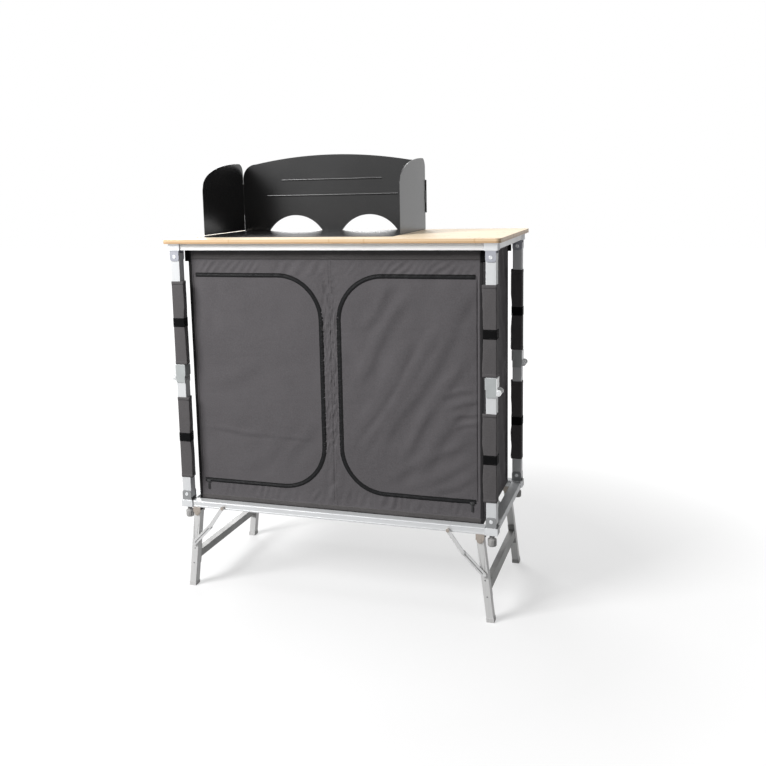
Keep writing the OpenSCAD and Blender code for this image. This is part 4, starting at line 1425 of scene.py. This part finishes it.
@dataclass
class PostSleeve:
    """Cloth sleeve round one half of a post, with its hook-and-loop strap."""

    finishes: Finishes
    corner: Corner
    part: Half
    seed: int
    post_x: float = 466.0
    post_y: float = 216.0
    face: float = 15.1
    slack: float = 8.5
    height: float = 248.0
    strap: float = 26.0
    hem: float = 9.0
    cloth: float = 0.7
    hem_cloth: float = 0.3
    strap_cloth: float = 0.75

    @property
    def low(self) -> float:
        """Height of the lower end of the sleeve."""
        return 347.0 if self.part is Half.LOWER else 695.0

    @property
    def strap_low(self) -> float:
        """Height of the lower edge of the strap, a little different on each post.

        Returns:
            The height in millimetres.
        """
        heights = {Corner.FRONT_LEFT: (459.0, 808.0), Corner.FRONT_RIGHT: (454.0, 798.0)}
        lower, upper = heights.get(self.corner, (456.0, 802.0))
        return lower if self.part is Half.LOWER else upper

    def outline(self, grow: float, round_r: float = 2.2) -> tuple[Array, Array, Array]:
        """Rounded square round the post.

        Args:
            grow: How far it stands off the sleeve's face.
            round_r: Radius of its corners.

        Returns:
            Place outwards from the post, place away from the cupboard, and the share of the
            slack at each point.
        """
        f = self.face + grow
        turns = np.linspace(0.0, math.pi / 2, 5)
        flat = np.linspace(-1.0, 1.0, 9)[1:-1] * (f - round_r)
        a, b = [], []
        for k in range(4):
            ca, sa = math.cos(k * math.pi / 2), math.sin(k * math.pi / 2)
            arc_a = f - round_r + round_r * np.cos(turns)
            arc_b = f - round_r + round_r * np.sin(turns)
            side_a, side_b = -flat, np.full_like(flat, f)
            pa, pb = np.concatenate([arc_a, side_a]), np.concatenate([arc_b, side_b])
            a.append(ca * pa - sa * pb)
            b.append(sa * pa + ca * pb)
        a, b = np.concatenate(a), np.concatenate(b)
        return a, b, soft_step(-a, 2.0, f - 0.5)

    def ring(self, z: Array, grow: float, slack: Array) -> Array:
        """Rows of points of the sleeve, or of a band on it.

        Args:
            z: Heights of the rows.
            grow: How far it stands off the sleeve's face.
            slack: Slack on the inner side at each height.

        Returns:
            Points as rows by columns by 3.
        """
        _, sx, sy = self.corner.value
        a, b, share = self.outline(grow)
        turn = np.arctan2(b, a)
        belly = 0.62 + 0.38 * b / self.face
        middle = self.strap_low + self.strap / 2
        rows = []
        for height, more in zip(z, slack):
            free = soft_step(np.abs(height - middle), 14, 30)
            soft = 0.28 * np.sin(3 * turn + height / 23.0 + self.seed) * free
            x = a - share * more * belly
            y = b + np.sign(b) * np.maximum(soft, 0.0) * (np.abs(b) > self.face - 1)
            rows.append(np.stack([sx * (self.post_x + x), sy * (self.post_y + y),
                                  np.full_like(x, height)], axis=1))
        return np.array(rows)

    def looseness(self, z: Array) -> Array:
        """Slack of the sleeve, pulled in by the strap and wavy elsewhere.

        Args:
            z: Heights.

        Returns:
            The slack at each height.
        """
        middle = self.strap_low + self.strap / 2
        pull = soft_step(np.abs(z - middle), self.strap * 0.45, self.strap * 1.9)
        still = np.zeros_like(z)
        wave = 1.1 * ripple(z, still, 95.0, self.seed) + 0.35 * ripple(z, still, 24.0, self.seed + 5)
        return np.clip(self.slack * (0.72 + 0.28 * pull) + wave * pull, 2.0, 9.6)

    def band(self, name: str, finish: str, body: str, low: float, height: float, grow: float, slot: str,
             thick: float, step: float = 3.0) -> Piece:
        """Makes the sleeve, or a band that lies on it.

        Args:
            name: Name of the piece.
            finish: Its finish.
            body: Post half that it rides on.
            low: Height of its lower edge.
            height: Its own height.
            grow: How far it stands off the sleeve's face.
            slot: Name of a material slot, handed on to the piece.
            thick: Its thickness.
            step: Distance between two rows of points.

        Returns:
            The sleeve or the band.
        """
        z = spaced(low, low + height, step)
        draft = MeshDraft()
        draft.grid(self.ring(z, grow, self.looseness(z)), ring=True)
        return draft.piece(name, self.finishes[finish], body, slot, thick, even=True)

    def stitch_strap(self, name: str, body: str) -> Piece:
        """Makes the two rows of stitches across the strap's outer face.

        Args:
            name: Name of the piece.
            body: Post half that it rides on.

        Returns:
            The stitches.
        """
        _, sx, sy = self.corner.value
        draft = MeshDraft()
        for a in spaced(-6.0, 12.2, 1.3):
            for z in (self.strap_low + 2.4, self.strap_low + self.strap - 2.4):
                place = (sx * (self.post_x + a), sy * (self.post_y + self.face + 1.2), z)
                draft.block(place, (0.9, 0.25, 0.5))
        return draft.piece(name, self.finishes["thread"], body, "webbing", smooth=False)

    def build(self) -> None:
        """Makes the sleeve and its strap, each with a mesh of its own."""
        word = f"{self.corner.word}_{self.part.value}"
        sleeve = self.band(f"{word}_sleeve_cloth", "sleeve_cloth", word, self.low, self.height, 0.0,
                           "cloth", self.cloth, 4.0)
        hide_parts(f"{word}_sleeve")
        trims = [self.band(f"{word}_sleeve_{end}_hem", "sleeve_cloth", word, low, self.hem, 0.35,
                           "cloth", self.hem_cloth)
                 for end, low in (("low", self.low + 0.2), ("top", self.low + self.height - self.hem - 0.2))]
        trims.append(self.band(f"{word}_strap_band", "webbing", word, self.strap_low, self.strap, 0.8,
                               "webbing", self.strap_cloth))
        trims.append(self.stitch_strap(f"{word}_strap_stitches", word))
        for piece in (sleeve, *trims):
            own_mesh(piece)
        LOG.info("built %s", sleeve.name)


@dataclass
class CornerTabs:
    """Webbing tabs that hold the cupboard's top corners to the top rails."""

    finishes: Finishes
    x: tuple[float, float] = (433.0, 448.0)
    rail_y: float = 202.0
    top: float = 1052.0
    bend: float = 1034.0
    low: float = 1000.0
    thick: float = 0.9
    step: float = 0.6
    crown: float = 0.15

    def build(self) -> None:
        """Makes the four tabs."""
        for corner in Corner:
            _, sx, sy = corner.value
            heights = np.concatenate([spaced(self.low, self.bend - 6, 4.0),
                                      spaced(self.bend - 5, self.bend + 5, 1.0),
                                      spaced(self.bend + 6, self.top, 4.0)])
            rows = []
            for z in heights:
                step = self.step * (1.0 - float(soft_step(z, self.bend - 8, self.bend + 2)))
                across = np.linspace(self.x[0], self.x[1], 7)
                crown = self.crown * (1.0 - np.linspace(-1, 1, 7) ** 2)
                rows.append(np.stack([sx * across, sy * (self.rail_y - 0.15 - step - crown),
                                      np.full_like(across, z)], axis=1))
            draft = MeshDraft()
            draft.grid(np.array(rows), flip=sx * sy < 0)
            tab = draft.piece(f"{corner.word}_webbing_tab", self.finishes["webbing"], "top_frame", "webbing")
            thicken(tab, self.thick, inwards=False)
            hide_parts("corner_tabs")
            LOG.info("built %s", tab.name)


# Camera, light and floor


@dataclass(frozen=True)
class Lamp:
    """One soft square lamp, with lengths in metres and its power in watts."""

    name: str
    place: Point
    aim: Point
    size: float
    power: float

    def build(self) -> None:
        """Hangs the lamp in its place."""
        data = bpy.data.lights.new(self.name, "AREA")
        data.size = self.size
        data.energy = self.power
        lamp = bpy.data.objects.new(self.name, data)
        way = Vector(self.aim) - Vector(self.place)
        turn = way.to_track_quat("-Z", "Y").to_matrix().to_4x4()
        lamp.matrix_world = Matrix.Translation(self.place) @ turn
        bpy.context.scene.collection.objects.link(lamp)


@dataclass
class Studio:
    """Plain pale floor, soft studio light and the camera of the photograph."""

    eye: Point = (0.9274, -2.6968, 1.2168)
    right: Point = (0.94617, 0.32275, -0.02436)
    up: Point = (-0.02787, 0.15622, 0.98733)
    ahead: Point = (-0.32247, 0.93350, -0.15681)
    lens: float = 44.69
    shift: tuple[float, float] = (0.0414, -0.0643)
    ambient: float = 0.10
    floor_reach: float = 14.0
    floor_fade: tuple[float, ...] = (0.9, 1.7, 0.58, 1.0)
    floor_glow: tuple[float, ...] = (0.9, 1.7, 0.92, 1.14)
    lamps: tuple[Lamp, ...] = (
        Lamp("key", (-2.6, -3.3, 3.2), (0.0, 0.0, 0.7), 2.0, 320.0),
        Lamp("overhead", (0.0, -0.1, 4.2), (0.0, 0.0, 0.5), 2.2, 46.0),
        Lamp("rear", (-1.9, 3.3, 2.9), (0.0, 0.0, 0.6), 2.2, 110.0),
        Lamp("fill", (3.0, -1.6, 1.7), (0.3, 0.0, 0.8), 1.6, 7.0),
    )

    def seen(self, tree: bpy.types.NodeTree) -> Socket:
        """Tells what is seen from light that falls on the object.

        Args:
            tree: Node tree that gets the nodes.

        Returns:
            1 for what the camera, gloss and glass see, and otherwise 0.
        """
        path = tree.nodes.new("ShaderNodeLightPath")
        total = path.outputs["Is Camera Ray"]
        for name in ("Is Glossy Ray", "Is Transmission Ray"):
            node = tree.nodes.new("ShaderNodeMath")
            node.operation = "MAXIMUM"
            tree.links.new(total, node.inputs[0])
            tree.links.new(path.outputs[name], node.inputs[1])
            total = node.outputs[0]
        return total

    def build_camera(self) -> None:
        """Sets up the camera at the photograph's viewing angle."""
        data = bpy.data.cameras.new("camera")
        data.sensor_width, data.lens = 36.0, self.lens
        data.shift_x, data.shift_y = self.shift
        camera = bpy.data.objects.new("camera", data)
        turn = Matrix((self.right, self.up, [-a for a in self.ahead])).transposed().to_4x4()
        camera.matrix_world = Matrix.Translation(self.eye) @ turn
        bpy.context.scene.collection.objects.link(camera)
        bpy.context.scene.camera = camera

    def build_world(self) -> None:
        """Makes a white surround that lights the object only a little."""
        world = bpy.data.worlds.new("studio")
        world.use_nodes = True
        tree = world.node_tree
        tree.nodes.clear()
        dim, white = (tree.nodes.new("ShaderNodeBackground") for _ in range(2))
        dim.inputs["Color"].default_value = (1.0, 1.0, 1.0, 1.0)
        dim.inputs["Strength"].default_value = self.ambient
        white.inputs["Color"].default_value = (1.0, 1.0, 1.0, 1.0)
        white.inputs["Strength"].default_value = 1.0
        mix, out = tree.nodes.new("ShaderNodeMixShader"), tree.nodes.new("ShaderNodeOutputWorld")
        tree.links.new(self.seen(tree), mix.inputs[0])
        tree.links.new(dim.outputs[0], mix.inputs[1])
        tree.links.new(white.outputs[0], mix.inputs[2])
        tree.links.new(mix.outputs[0], out.inputs["Surface"])
        bpy.context.scene.world = world

    def build_floor(self) -> None:
        """Makes a white floor that keeps the object's soft shadow."""
        mesh = bpy.data.meshes.new("floor")
        reach = self.floor_reach
        mesh.from_pydata([(-reach, -reach, 0), (reach, -reach, 0), (reach, reach, 0), (-reach, reach, 0)],
                         [], [(0, 1, 2, 3)])
        floor = bpy.data.objects.new("floor", mesh)
        bpy.context.scene.collection.objects.link(floor)
        material = bpy.data.materials.new("floor_white")
        material.use_nodes = True
        tree = material.node_tree
        tree.nodes.clear()
        glow, lit, dull = (tree.nodes.new(kind) for kind in
                           ("ShaderNodeEmission", "ShaderNodeBsdfDiffuse", "ShaderNodeBsdfDiffuse"))
        lit.inputs["Color"].default_value = (0.98, 0.98, 0.98, 1.0)
        dull.inputs["Color"].default_value = (0.22, 0.22, 0.22, 1.0)
        place = tree.nodes.new("ShaderNodeNewGeometry")
        length = tree.nodes.new("ShaderNodeVectorMath")
        length.operation = "LENGTH"
        tree.links.new(place.outputs["Position"], length.inputs[0])
        fade = tree.nodes.new("ShaderNodeMapRange")
        level = tree.nodes.new("ShaderNodeMapRange")
        for node, share in ((fade, self.floor_fade), (level, self.floor_glow)):
            for number, value in enumerate(share, 1):
                node.inputs[number].default_value = value
            tree.links.new(length.outputs["Value"], node.inputs[0])
        tree.links.new(level.outputs[0], glow.inputs["Strength"])
        pale, both = tree.nodes.new("ShaderNodeMixShader"), tree.nodes.new("ShaderNodeMixShader")
        tree.links.new(fade.outputs[0], pale.inputs[0])
        tree.links.new(lit.outputs[0], pale.inputs[1])
        tree.links.new(glow.outputs[0], pale.inputs[2])
        tree.links.new(self.seen(tree), both.inputs[0])
        tree.links.new(dull.outputs[0], both.inputs[1])
        tree.links.new(pale.outputs[0], both.inputs[2])
        out = tree.nodes.new("ShaderNodeOutputMaterial")
        tree.links.new(both.outputs[0], out.inputs["Surface"])
        mesh.materials.append(material)

    def build(self) -> None:
        """Sets up the camera, the surround, the floor and the lamps."""
        self.build_camera()
        self.build_world()
        self.build_floor()
        for lamp in self.lamps:
            lamp.build()
        bpy.context.scene.view_settings.view_transform = "Standard"
        LOG.info("built the studio")


def main() -> None:
    """Builds the cupboard's pieces in order and reports each of them."""
    logging.basicConfig(level=logging.INFO, format="%(name)s: %(message)s")
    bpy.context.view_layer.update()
    Studio().build()
    finishes = Finishes()
    RigidParts(finishes).build()
    LevellingKnobs(finishes).build()
    LegRivets(finishes).build()
    RailBeads(finishes).build()
    CupboardFront(finishes).build()
    ZipSliders(finishes).build()
    PlainWalls(finishes).build()
    for number, corner in enumerate(Corner):
        for part in Half:
            PostSleeve(finishes, corner, part, 60 + 7 * number + (3 if part is Half.UPPER else 0)).build()
    CornerTabs(finishes).build()


if __name__ == "__main__":
    main()
